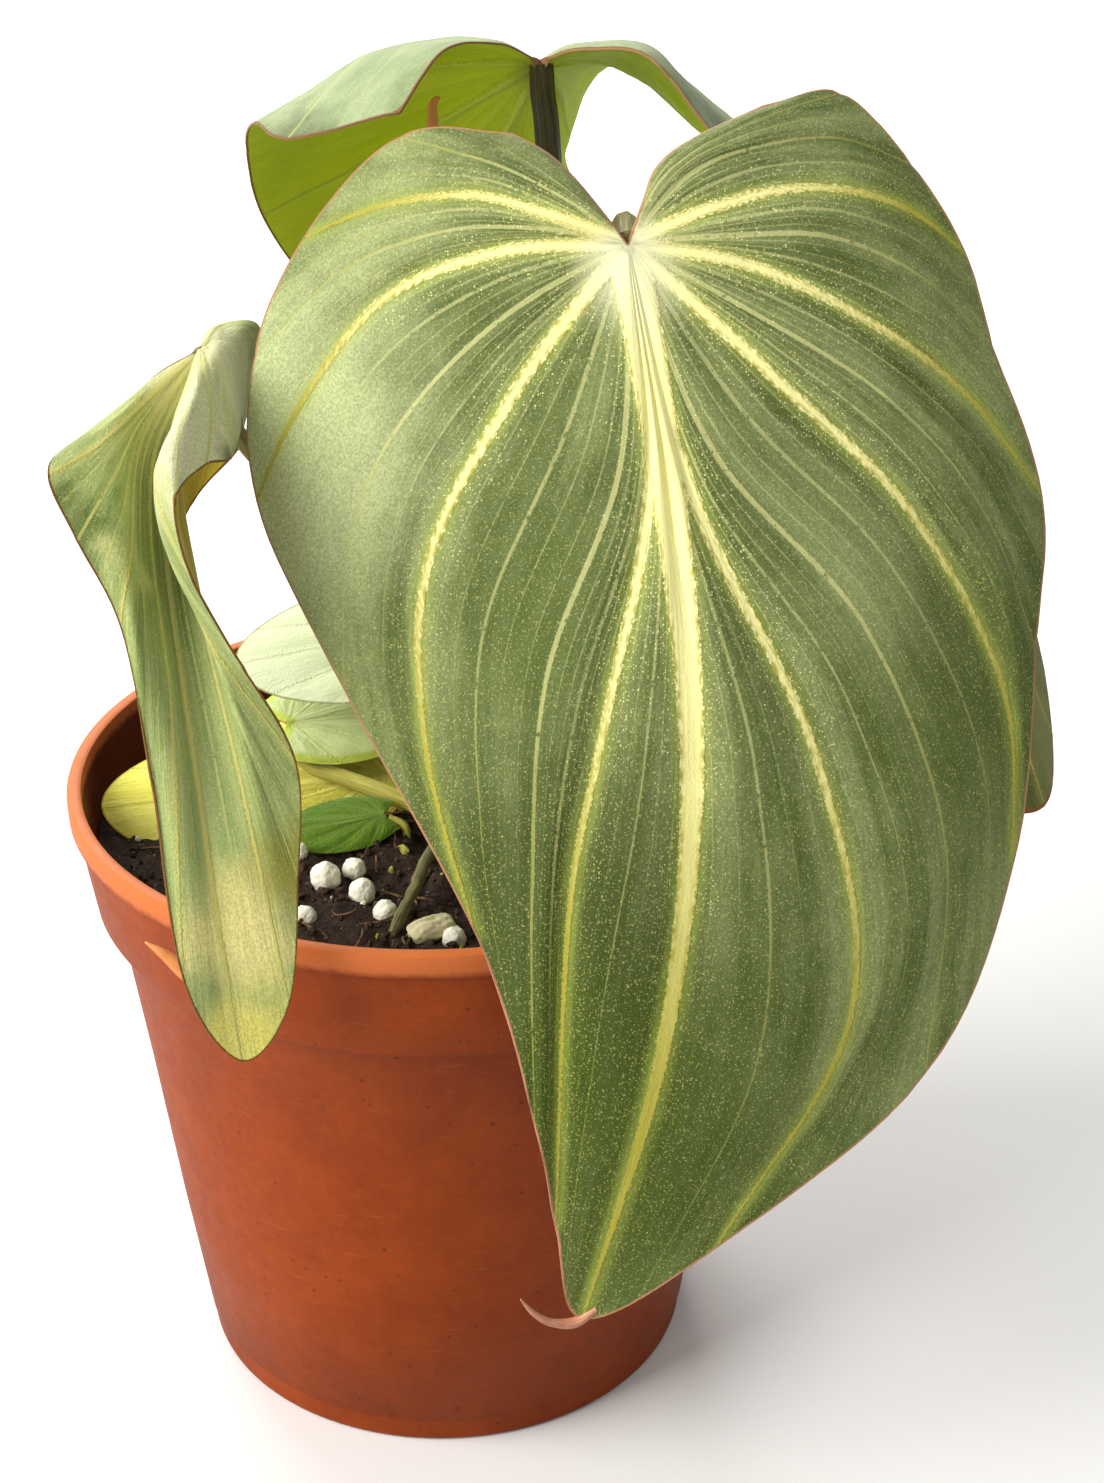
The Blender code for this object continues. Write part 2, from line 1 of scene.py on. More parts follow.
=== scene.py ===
"""Looks of the philodendron gloriosum in its round nursery pot.

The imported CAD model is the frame. The paths and ribs here repeat the plant's own sizes in
millimetres, so each finer piece lies where its CAD node lies, and MM turns them into Blender's metres.
"""

import logging
import math
import random
from dataclasses import dataclass
from enum import Enum

import bpy
import numpy as np
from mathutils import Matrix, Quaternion, Vector, noise


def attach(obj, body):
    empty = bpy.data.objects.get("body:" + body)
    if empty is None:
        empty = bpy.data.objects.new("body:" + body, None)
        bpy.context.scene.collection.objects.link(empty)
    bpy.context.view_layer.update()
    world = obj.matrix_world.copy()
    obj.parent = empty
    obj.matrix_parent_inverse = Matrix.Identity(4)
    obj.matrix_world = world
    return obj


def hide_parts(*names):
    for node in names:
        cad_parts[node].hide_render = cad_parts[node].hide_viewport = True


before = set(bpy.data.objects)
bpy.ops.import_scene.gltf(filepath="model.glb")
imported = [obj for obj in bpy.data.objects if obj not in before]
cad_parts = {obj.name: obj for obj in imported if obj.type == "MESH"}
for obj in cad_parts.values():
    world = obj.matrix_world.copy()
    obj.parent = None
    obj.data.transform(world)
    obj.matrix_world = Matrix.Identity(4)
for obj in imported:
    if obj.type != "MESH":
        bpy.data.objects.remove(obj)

LOG = logging.getLogger("gloriosum")
MM = 0.001
BODY = "root"

Point = tuple[float, float, float]
Colour = tuple[float, float, float]
Socket = bpy.types.NodeSocket


def screen(red: float, green: float, blue: float) -> Colour:
    """Turn a colour as a screen shows it into a linear one.

    Args:
        red: Red from 0 to 255.
        green: Green from 0 to 255.
        blue: Blue from 0 to 255.

    Returns:
        The linear colour, each part from 0 to 1.
    """
    parts = []
    for value in (red, green, blue):
        share = value / 255
        parts.append(share / 12.92 if share <= 0.04045 else ((share + 0.055) / 1.055) ** 2.4)
    return tuple(parts)


# Curves and sheets


def spline(points: np.ndarray, places: np.ndarray) -> np.ndarray:
    """Read a smooth curve through points, along the first axis.

    Args:
        points: The points that the curve passes through.
        places: Where to read it, from 0 to the index of the last point.

    Returns:
        One point of the curve for each place.
    """
    points = np.asarray(points, float)
    before = 2 * points[:1] - points[1:2]
    after = 2 * points[-1:] - points[-2:-1]
    padded = np.concatenate([before, points, after])
    start = np.clip(np.floor(places).astype(int), 0, len(points) - 2)
    t = (places - start).reshape((-1,) + (1,) * (points.ndim - 1))
    a, b, c, d = (padded[start + k] for k in range(4))
    bend = 2 * a - 5 * b + 4 * c - d
    twist = 3 * (b - c) + d - a
    return b + 0.5 * t * (c - a + t * (bend + t * twist))


def soften(values: np.ndarray, low: float, high: float) -> np.ndarray:
    """Smooth step from 0 at low to 1 at high, which may be the lower of the two."""
    t = np.clip((values - low) / (high - low), 0, 1)
    return t * t * (3 - 2 * t)


def gap_to_line(points: np.ndarray, line: np.ndarray, widths: np.ndarray) -> np.ndarray:
    """Measure how far points lie outside a line of changing width.

    Args:
        points: The points to measure from.
        line: The points along the middle of the line.
        widths: Half the line's width at each of its points.

    Returns:
        The gap for each point, below zero inside the line.
    """
    best = np.full(len(points), np.inf)
    for a, b, wide, narrow in zip(line, line[1:], widths, widths[1:]):
        run = b - a
        t = np.clip((points - a) @ run / max(run @ run, 1e-9), 0, 1)
        away = np.linalg.norm(points - a - t[:, None] * run, axis=1)
        best = np.minimum(best, away - wide - (narrow - wide) * t)
    return best


def ripple(points: np.ndarray, size: float, seed: float) -> np.ndarray:
    """Read smooth noise at points, with bumps of a size in millimetres."""
    shift = Vector((seed, seed * 1.7, seed * 0.3))
    return np.array([noise.noise(Vector(p) / size + shift) for p in points])


def add_mesh(name: str, points: np.ndarray, faces: list, finishes: list, slots: list = (),
             crease: float = 45.0) -> bpy.types.Object:
    """Put a closed mesh, given in millimetres, into the scene.

    Args:
        name: The piece's name.
        points: Its points.
        faces: Indices of the points of each face, turning left seen from outside.
        finishes: Its materials.
        slots: Which material each face takes, or nothing for the first.
        crease: Edges sharper than this many degrees stay sharp.

    Returns:
        The new object, with its place in its mesh.
    """
    mesh = bpy.data.meshes.new(name)
    mesh.from_pydata((np.asarray(points, float) * MM).tolist(), [], faces)
    for finish in finishes:
        mesh.materials.append(finish)
    if len(slots):
        mesh.polygons.foreach_set("material_index", list(slots))
    mesh.shade_smooth()
    mesh.set_sharp_from_angle(angle=math.radians(crease))
    piece = bpy.data.objects.new(name, mesh)
    bpy.context.scene.collection.objects.link(piece)
    return piece


def note_vectors(piece: bpy.types.Object, name: str, values: np.ndarray) -> None:
    """Keep a vector at each point of a mesh for its materials to read."""
    layer = piece.data.attributes.new(name, "FLOAT_VECTOR", "POINT")
    layer.data.foreach_set("vector", np.asarray(values, np.float32).ravel())


def dress(piece: bpy.types.Object, slot: str, *nodes: str) -> bpy.types.Object:
    """Tie a finished piece to the body and hide the CAD nodes it stands for.

    Args:
        piece: The finished piece.
        slot: The record's material slot; not used.
        nodes: The CAD nodes that the piece replaces.

    Returns:
        The piece.
    """
    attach(piece, BODY)
    if nodes:
        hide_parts(*nodes)
    LOG.info("%s: %d faces", piece.name, len(piece.data.polygons))
    return piece


def clear_choice() -> None:
    """Leave nothing selected and nothing active."""
    bpy.ops.object.select_all(action="DESELECT")
    bpy.context.view_layer.objects.active = None


def choose(piece: bpy.types.Object) -> None:
    """Select one piece alone.

    Args:
        piece: The piece to select.
    """
    clear_choice()
    piece.select_set(True)
    bpy.context.view_layer.objects.active = piece


# Shader graphs


class Graph:
    """Shorthand for building one node tree."""

    def __init__(self, tree: bpy.types.NodeTree) -> None:
        """Wrap a tree.

        Args:
            tree: The node tree that every call adds to.
        """
        self.tree = tree

    def node(self, kind: str, **settings: object) -> bpy.types.Node:
        """Add a shader node and set its options.

        Args:
            kind: The node's type, without the word that all shader nodes start with.
            settings: Options to set on it.

        Returns:
            The new node.
        """
        made = self.tree.nodes.new("ShaderNode" + kind)
        for name, value in settings.items():
            setattr(made, name, value)
        return made

    def feed(self, socket: Socket, value: object) -> None:
        """Link a socket to another one, or set it to a number or a colour.

        Args:
            socket: The input to feed.
            value: Another socket, a number, a vector or a colour.
        """
        if isinstance(value, bpy.types.NodeSocket):
            self.tree.links.new(value, socket)
        elif socket.type == "RGBA":
            socket.default_value = (*value, 1.0)
        else:
            socket.default_value = value

    def math(self, operation: str, first: object, second: object = 0.0) -> Socket:
        """Add a Math node and return its value.

        Args:
            operation: Blender's name of the sum.
            first: Its first number or socket.
            second: Its second number or socket.

        Returns:
            The result.
        """
        made = self.node("Math", operation=operation)
        self.feed(made.inputs[0], first)
        self.feed(made.inputs[1], second)
        return made.outputs[0]

    def scaled(self, vector: Socket, amount: object) -> Socket:
        """Multiply a vector by three numbers.

        Args:
            vector: The vector.
            amount: The three numbers.

        Returns:
            The scaled vector.
        """
        made = self.node("VectorMath", operation="MULTIPLY")
        self.feed(made.inputs[0], vector)
        self.feed(made.inputs[1], amount)
        return made.outputs[0]

    def away(self, vector: Socket, centre: Point) -> Socket:
        """Distance of a point from a fixed centre.

        Args:
            vector: The point.
            centre: The fixed centre.

        Returns:
            The distance.
        """
        made = self.node("VectorMath", operation="DISTANCE")
        self.feed(made.inputs[0], vector)
        self.feed(made.inputs[1], centre)
        return made.outputs["Value"]

    def place(self) -> Socket:
        """Object coordinates in millimetres."""
        return self.scaled(self.node("TexCoord").outputs["Object"], (1000.0, 1000.0, 1000.0))

    def read(self, name: str) -> tuple[Socket, Socket, Socket]:
        """The three parts of a vector kept on the mesh."""
        return self.split(self.node("Attribute", attribute_name=name).outputs["Vector"])

    def split(self, vector: Socket) -> tuple[Socket, Socket, Socket]:
        """Three numbers of a vector.

        Args:
            vector: The vector.

        Returns:
            Its three numbers.
        """
        made = self.node("SeparateXYZ")
        self.feed(made.inputs[0], vector)
        return made.outputs[0], made.outputs[1], made.outputs[2]

    def join(self, first: object, second: object, third: object = 0.0) -> Socket:
        """A vector of three numbers.

        Args:
            first: The first number.
            second: The second number.
            third: The third number.

        Returns:
            The vector.
        """
        made = self.node("CombineXYZ")
        for socket, value in zip(made.inputs, (first, second, third)):
            self.feed(socket, value)
        return made.outputs[0]

    def noise(self, vector: Socket, scale: float, detail: float = 3.0) -> Socket:
        """Smooth noise from 0 to 1.

        Args:
            vector: Where to read it.
            scale: Bumps to a unit of the vector.
            detail: How many finer layers it has.

        Returns:
            The noise.
        """
        made = self.node("TexNoise")
        self.feed(made.inputs["Vector"], vector)
        made.inputs["Scale"].default_value = scale
        made.inputs["Detail"].default_value = detail
        return made.outputs["Fac"]

    def step(self, value: object, low: object, high: object) -> Socket:
        """Smooth step from 0 at low to 1 at high.

        Args:
            value: What to compare.
            low: Where the step starts.
            high: Where it ends, which may be the lower of the two.

        Returns:
            The step.
        """
        made = self.node("MapRange", interpolation_type="SMOOTHSTEP")
        self.feed(made.inputs["Value"], value)
        self.feed(made.inputs["From Min"], low)
        self.feed(made.inputs["From Max"], high)
        return made.outputs["Result"]

    def shrunk(self, vector: Socket, size: Socket) -> Socket:
        """Divide a vector by a size.

        Args:
            vector: The vector.
            size: The size.

        Returns:
            The smaller vector.
        """
        made = self.node("VectorMath", operation="SCALE")
        self.feed(made.inputs[0], vector)
        self.feed(made.inputs["Scale"], self.math("DIVIDE", 1.0, size))
        return made.outputs[0]

    def sharpened(self, value: Socket, contrast: Socket) -> Socket:
        """Step from 0 to 1 in a band round a half.

        Args:
            value: What to compare.
            contrast: Width of the band.

        Returns:
            The step.
        """
        half = self.math("MULTIPLY", contrast, 0.5)
        return self.step(value, self.math("SUBTRACT", 0.5, half), self.math("ADD", 0.5, half))

    def mix(self, factor: object, first: object, second: object) -> Socket:
        """Mix two colours.

        Args:
            factor: Share of the second colour.
            first: The first colour.
            second: The second colour.

        Returns:
            The mixed colour.
        """
        made = self.node("Mix", data_type="RGBA")
        self.feed(made.inputs["Factor"], factor)
        self.feed(made.inputs[6], first)
        self.feed(made.inputs[7], second)
        return made.outputs[2]

    def use(self, group: bpy.types.NodeTree, **values: object) -> Socket:
        """Place a node group, with an input for each named value, and return its first output.

        Args:
            group: The group to place.
            values: A number or socket for each named input.

        Returns:
            The group's first output.
        """
        made = self.node("Group")
        made.node_tree = group
        for name, value in values.items():
            self.feed(made.inputs[name.replace("_", " ")], value)
        return made.outputs[0]


class Effect(Enum):
    """Shader groups that several finishes share."""

    SPECKLE = "small dots that thin out with a gap"
    MOTTLE = "soft patches at two sizes"
    FIBRE = "streaks that run one way"
    GRIME = "small smudges and specks"


class Effects:
    """Builds each shared shader group once."""

    def __init__(self) -> None:
        """Start with no group built."""
        self.made: dict[Effect, bpy.types.NodeTree] = {}

    def get(self, effect: Effect) -> bpy.types.NodeTree:
        """Return the group of an effect, built at its first use.

        Args:
            effect: Which effect.

        Returns:
            Its group.
        """
        if effect not in self.made:
            builders = {Effect.SPECKLE: self.speckle, Effect.MOTTLE: self.mottle,
                        Effect.FIBRE: self.fibre, Effect.GRIME: self.grime}
            self.made[effect] = builders[effect]()
        return self.made[effect]

    def start(self, name: str, numbers: dict[str, float]) -> tuple[Graph, dict[str, Socket]]:
        """Open a group with a vector input, some numbers and one output.

        Args:
            name: The group's name.
            numbers: Names of its number inputs and what they start at.

        Returns:
            The group's graph and its inputs by name.
        """
        tree = bpy.data.node_groups.new(name, "ShaderNodeTree")
        tree.interface.new_socket("Mask", in_out="OUTPUT", socket_type="NodeSocketFloat")
        tree.interface.new_socket("Place", in_out="INPUT", socket_type="NodeSocketVector")
        for label, value in numbers.items():
            made = tree.interface.new_socket(label, in_out="INPUT", socket_type="NodeSocketFloat")
            made.default_value = value
        entry = tree.nodes.new("NodeGroupInput")
        return Graph(tree), {socket.name: socket for socket in entry.outputs if socket.name}

    def close(self, graph: Graph, value: Socket) -> bpy.types.NodeTree:
        """Send a value out of a group.

        Args:
            graph: The group's graph.
            value: The value to send out.

        Returns:
            The finished group.
        """
        leave = graph.tree.nodes.new("NodeGroupOutput")
        graph.tree.links.new(value, leave.inputs["Mask"])
        return graph.tree

    def speckle(self) -> bpy.types.NodeTree:
        """Dots of a size that crowd where the gap is small.

        Returns:
            The group.
        """
        graph, given = self.start("speckle", {"Gap": 1.0, "Reach": 3.0, "Density": 0.5, "Size": 0.4})
        cells = graph.node("TexVoronoi")
        graph.feed(cells.inputs["Vector"], graph.shrunk(given["Place"], given["Size"]))
        cells.inputs["Scale"].default_value = 1.0
        chance, width, _ = graph.split(cells.outputs["Color"])
        crowd = graph.math("MULTIPLY", given["Density"], graph.step(given["Gap"], given["Reach"], 0.0))
        picked = graph.math("LESS_THAN", chance, crowd)
        radius = graph.math("ADD", 0.24, graph.math("MULTIPLY", width, 0.2))
        dot = graph.step(cells.outputs["Distance"], radius, graph.math("SUBTRACT", radius, 0.12))
        return self.close(graph, graph.math("MULTIPLY", picked, dot))

    def mottle(self) -> bpy.types.NodeTree:
        """Large and small patches mixed.

        Returns:
            The group.
        """
        graph, given = self.start("mottle", {"Contrast": 0.3})
        large = graph.noise(given["Place"], 0.09, 2.0)
        small = graph.noise(given["Place"], 0.6, 4.0)
        both = graph.math("ADD", graph.math("MULTIPLY", large, 0.6), graph.math("MULTIPLY", small, 0.4))
        return self.close(graph, graph.sharpened(both, given["Contrast"]))

    def fibre(self) -> bpy.types.NodeTree:
        """Streaks along the second axis of the vector.

        Returns:
            The group.
        """
        graph, given = self.start("fibre", {"Contrast": 0.4})
        coarse = graph.noise(graph.scaled(given["Place"], (1.0, 0.22, 1.0)), 1.0, 3.0)
        fine = graph.noise(graph.scaled(given["Place"], (4.0, 0.5, 4.0)), 1.0, 2.0)
        both = graph.math("ADD", graph.math("MULTIPLY", coarse, 0.65), graph.math("MULTIPLY", fine, 0.35))
        return self.close(graph, graph.sharpened(both, given["Contrast"]))

    def grime(self) -> bpy.types.NodeTree:
        """Few small smudges with ragged sides.

        Returns:
            The group.
        """
        graph, given = self.start("grime", {"Size": 4.0, "Amount": 0.3})
        spots = graph.noise(graph.shrunk(given["Place"], given["Size"]), 1.0, 6.0)
        edge = graph.math("SUBTRACT", 0.78, graph.math("MULTIPLY", given["Amount"], 0.3))
        return self.close(graph, graph.step(spots, edge, graph.math("ADD", edge, 0.06)))


EFFECTS = Effects()


# Finishes


def start_material(name: str, roughness: float) -> tuple[Graph, bpy.types.Node]:
    """Open a material with one Principled shader.

    Args:
        name: The material's name.
        roughness: Its even roughness.

    Returns:
        Its graph and its shader.
    """
    material = bpy.data.materials.new(name)
    material.use_nodes = True
    shader = material.node_tree.nodes["Principled BSDF"]
    shader.inputs["Roughness"].default_value = roughness
    return Graph(material.node_tree), shader


def raise_relief(graph: Graph, shader: bpy.types.Node, height: Socket, depth: float) -> None:
    """Give a shader a bump from a height of 0 to 1 that stands for depth millimetres.

    Args:
        graph: The material's graph.
        shader: Its shader.
        height: The height.
        depth: Millimetres from 0 to 1.
    """
    bump = graph.node("Bump")
    bump.inputs["Strength"].default_value = 1.0
    bump.inputs["Distance"].default_value = depth * MM
    graph.feed(bump.inputs["Height"], height)
    graph.feed(shader.inputs["Normal"], bump.outputs["Normal"])


@dataclass(frozen=True)
class Zone:
    """A soft patch of another colour round a place, in millimetres; on some leaves these patches are painted
    sheen and shade, on others the leaf's own colour.
    """

    centre: Point
    radius: float
    colour: Colour
    strength: float


@dataclass(frozen=True)
class BladeFinish:
    """Skin of one face of a leaf, drawn along its ribs and veins."""

    name: str
    dark: Colour
    light: Colour
    vein: Colour
    halo: Colour
    margin: Colour
    hub: Colour
    halo_share: float = 0.5
    halo_width: float = 2.4
    speckle: float = 0.6
    speckle_size: float = 0.42
    lines: float = 0.5
    contrast: float = 0.35
    margin_width: float = 0.45
    roughness: float = 0.62
    sheen: float = 0.25
    sheen_tint: Colour = (0.80, 0.90, 0.70)
    vein_share: float = 1.0
    zones: tuple[Zone, ...] = ()
    vein_end: Colour = screen(196, 188, 84)
    gloss: float = 0.12
    grain: float = 0.3
    speckle_reach: float = 5.5
    hub_reach: float = 0.13
    relief: float = 0.28

    def make(self) -> bpy.types.Material:
        """Build the material.

        Returns:
            The material, which is built once.
        """
        made = bpy.data.materials.get(self.name)
        if made is not None:
            return made
        graph, shader = start_material(self.name, self.roughness)
        shader.inputs["Sheen Weight"].default_value = self.sheen
        shader.inputs["Sheen Roughness"].default_value = 0.4
        shader.inputs["Sheen Tint"].default_value = (*self.sheen_tint, 1.0)
        shader.inputs["Specular IOR Level"].default_value = self.gloss
        place = graph.place()
        across, reach, spread = graph.read("rib")
        gap, edge, _ = graph.read("line")
        flow = graph.join(graph.math("MULTIPLY", across, 6.0), graph.math("MULTIPLY", reach, 30.0))
        streak = graph.use(EFFECTS.get(Effect.FIBRE), Place=flow, Contrast=0.5)
        cream = graph.mix(graph.step(reach, 0.35, 0.85), self.vein, self.vein_end)
        colour = self.ground(graph, place, flow, streak)
        grain = graph.noise(place, 2.6, 2.0)
        colour = self.velvet(graph, place, grain, colour)
        halo = graph.step(gap, self.halo_width, -0.2)
        halo = graph.math("MULTIPLY", halo, graph.math("ADD", 0.4, graph.math("MULTIPLY", streak, 0.9)))
        colour = graph.mix(graph.math("MULTIPLY", halo, self.halo_share), colour, self.halo)
        lines = self.minor_lines(graph, place, across, spread, reach)
        soft = graph.mix(0.35, cream, self.light)
        colour = graph.mix(graph.math("MULTIPLY", lines, self.lines), colour, soft)
        dots = graph.use(EFFECTS.get(Effect.SPECKLE), Place=place, Gap=gap, Reach=self.speckle_reach,
                         Density=self.speckle, Size=self.speckle_size)
        colour = graph.mix(graph.math("MULTIPLY", dots, 0.75), colour, cream)
        fray = graph.math("MULTIPLY", graph.math("SUBTRACT", graph.noise(place, 2.4, 3.0), 0.5), 1.1)
        veins = graph.step(graph.math("ADD", gap, fray), 0.16, -0.12)
        paler = graph.mix(graph.step(graph.noise(flow, 3.0, 2.0), 0.35, 0.65), cream, self.vein_end)
        tone = graph.mix(graph.step(gap, -0.1, -0.9), paler, cream)
        colour = graph.mix(graph.math("MULTIPLY", veins, self.vein_share), colour, tone)
        near = graph.step(reach, self.hub_reach, 0.01)
        colour = graph.mix(graph.math("MULTIPLY", near, 0.75), colour, self.hub)
        rim = graph.step(graph.math("ADD", edge, graph.math("MULTIPLY", fray, 0.25)),
                         self.margin_width, self.margin_width * 0.4)
        graph.feed(shader.inputs["Base Color"], graph.mix(rim, colour, self.margin))
        height = graph.math("ADD", graph.math("MULTIPLY", streak, 0.35), graph.math("MULTIPLY", grain, 0.3))
        height = graph.math("ADD", height, graph.math("MULTIPLY", veins, 0.35))
        raise_relief(graph, shader, height, self.relief)
        return bpy.data.materials[self.name]

    def ground(self, graph: Graph, place: Socket, flow: Socket, streak: Socket) -> Socket:
        """Mix the green between the veins: fine streaks, soft patches, broad stripes and zones, which hold
        painted sheen and shade on some leaves.

        Args:
            graph: The material's graph.
            place: Object coordinates in millimetres.
            flow: Coordinates across and along the ribs.
            streak: A mask of fine streaks along the ribs.

        Returns:
            The colour of the blade before its veins.
        """
        patch = graph.use(EFFECTS.get(Effect.MOTTLE), Place=place, Contrast=self.contrast)
        broad = graph.step(graph.noise(graph.scaled(flow, (0.34, 0.05, 0.0)), 1.0, 2.0), 0.38, 0.62)
        blend = graph.math("ADD", graph.math("MULTIPLY", streak, 0.35), graph.math("MULTIPLY", patch, 0.2))
        blend = graph.math("ADD", blend, graph.math("MULTIPLY", broad, 0.45))
        colour = graph.mix(blend, self.dark, self.light)
        wander = graph.math("MULTIPLY", graph.math("SUBTRACT", graph.noise(place, 0.12), 0.5), 14.0)
        # Each zone mixes in a soft patch of colour: painted sheen and shade on the front leaf, painted sheen
        # on the left leaf's flap, the leaf's own colour elsewhere.
        for zone in self.zones:
            far = graph.math("ADD", graph.away(place, zone.centre), wander)
            mask = graph.step(far, zone.radius, zone.radius * 0.3)
            colour = graph.mix(graph.math("MULTIPLY", mask, zone.strength), colour, zone.colour)
        return colour

    def velvet(self, graph: Graph, place: Socket, grain: Socket, colour: Socket) -> Socket:
        """Break a colour up with the fine dark and pale grain of velvet.

        Args:
            graph: The material's graph.
            place: Object coordinates in millimetres.
            grain: Fine noise, which also lifts the surface.
            colour: The colour to break up.

        Returns:
            The grainy colour.
        """
        shade = graph.math("MULTIPLY", graph.step(grain, 0.62, 0.38), self.grain)
        colour = graph.mix(shade, colour, self.dark)
        pale = graph.step(graph.noise(place, 3.6, 2.0), 0.56, 0.72)
        return graph.mix(graph.math("MULTIPLY", pale, self.grain), colour, self.vein)

    def minor_lines(self, graph: Graph, place: Socket, across: Socket, spread: Socket,
                    reach: Socket) -> Socket:
        """Thin veins between the main ones, at each rib, half and sixth of a rib.

        Args:
            graph: The material's graph.
            place: Object coordinates in millimetres.
            across: The rib coordinate.
            spread: Millimetres from one rib to the next here.
            reach: Share of the way from the stalk to the margin.

        Returns:
            A mask of the lines.
        """
        found = None
        broken = graph.noise(place, 0.9, 3.0)
        thinner = graph.math("MULTIPLY", reach, 0.22)
        orders = ((1.0, 0.50, 1.0, 0.26), (2.0, 0.36, 0.7, 0.30), (6.0, 0.20, 0.5, 0.30))
        for count, width, share, low in orders:
            turn = graph.math("ADD", graph.math("MULTIPLY", across, count), 0.5)
            off = graph.math("ABSOLUTE", graph.math("SUBTRACT", graph.math("FRACT", turn), 0.5))
            off = graph.math("MULTIPLY", graph.math("DIVIDE", off, count), spread)
            ragged = graph.math("ADD", off, graph.math("MULTIPLY", graph.noise(place, 3.0, 2.0), 0.3))
            ragged = graph.math("ADD", ragged, thinner)
            line = graph.step(ragged, width + 0.22, width + 0.04)
            line = graph.math("MULTIPLY", line, graph.step(broken, low, low + 0.14))
            line = graph.math("MULTIPLY", line, share)
            found = line if found is None else graph.math("MAXIMUM", found, line)
        return found


@dataclass(frozen=True)
class StalkFinish:
    """Skin of a stalk, with flutes and blotches that run along it."""

    name: str
    dark: Colour
    light: Colour
    blotch: Colour
    blotch_share: float = 0.3
    roughness: float = 0.42
    relief: float = 0.12
    tip: Colour = (0.0, 0.0, 0.0)
    tip_from: float | None = None

    def make(self) -> bpy.types.Material:
        """Build the material.

        Returns:
            The material, which is built once.
        """
        made = bpy.data.materials.get(self.name)
        if made is not None:
            return made
        graph, shader = start_material(self.name, self.roughness)
        side, turn, along = graph.read("flow")
        place = graph.place()
        flow = graph.join(graph.math("MULTIPLY", side, 3.4), graph.math("MULTIPLY", along, 0.5),
                          graph.math("MULTIPLY", turn, 3.4))
        streak = graph.use(EFFECTS.get(Effect.FIBRE), Place=flow, Contrast=0.4)
        patch = graph.use(EFFECTS.get(Effect.MOTTLE), Place=place, Contrast=0.3)
        colour = graph.mix(streak, self.dark, self.light)
        colour = graph.mix(graph.math("MULTIPLY", patch, self.blotch_share), colour, self.blotch)
        specks = graph.use(EFFECTS.get(Effect.SPECKLE), Place=place, Gap=0.0, Reach=1.0,
                           Density=0.12, Size=0.6)
        colour = graph.mix(graph.math("MULTIPLY", specks, 0.5), colour, self.blotch)
        if self.tip_from is not None:
            height_now = graph.split(place)[2]
            colour = graph.mix(graph.step(height_now, self.tip_from, self.tip_from + 9.0), colour, self.tip)
        graph.feed(shader.inputs["Base Color"], colour)
        grain = graph.noise(place, 1.8, 4.0)
        height = graph.math("ADD", graph.math("MULTIPLY", streak, 0.7), graph.math("MULTIPLY", grain, 0.3))
        raise_relief(graph, shader, height, self.relief)
        return bpy.data.materials[self.name]


@dataclass(frozen=True)
class GrainFinish:
    """Rough natural surface: soil, bark, perlite and rhizome skin."""

    name: str
    dark: Colour
    light: Colour
    fleck: Colour
    fleck_size: float = 0.8
    fleck_density: float = 0.15
    roughness: float = 0.95
    relief: float = 0.5
    size: float = 1.0

    def make(self) -> bpy.types.Material:
        """Build the material.

        Returns:
            The material, which is built once.
        """
        made = bpy.data.materials.get(self.name)
        if made is not None:
            return made
        graph, shader = start_material(self.name, self.roughness)
        shader.inputs["Specular IOR Level"].default_value = 0.25
        place = graph.place()
        coarse = graph.noise(place, 0.5 / self.size, 5.0)
        fine = graph.noise(place, 2.4 / self.size, 4.0)
        both = graph.math("ADD", graph.math("MULTIPLY", coarse, 0.5), graph.math("MULTIPLY", fine, 0.5))
        colour = graph.mix(graph.step(both, 0.36, 0.64), self.dark, self.light)
        flecks = graph.use(EFFECTS.get(Effect.SPECKLE), Place=place, Gap=0.0, Reach=1.0,
                           Density=self.fleck_density, Size=self.fleck_size)
        colour = graph.mix(flecks, colour, self.fleck)
        graph.feed(shader.inputs["Base Color"], colour)
        raise_relief(graph, shader, both, self.relief)
        return bpy.data.materials[self.name]


class PotSide(Enum):
    """The two sides of the pot's wall; the inside one is a darker copy of the plastic, as painted shade."""

    OUTSIDE = "pot plastic outside"
    INSIDE = "pot plastic inside with painted shade"


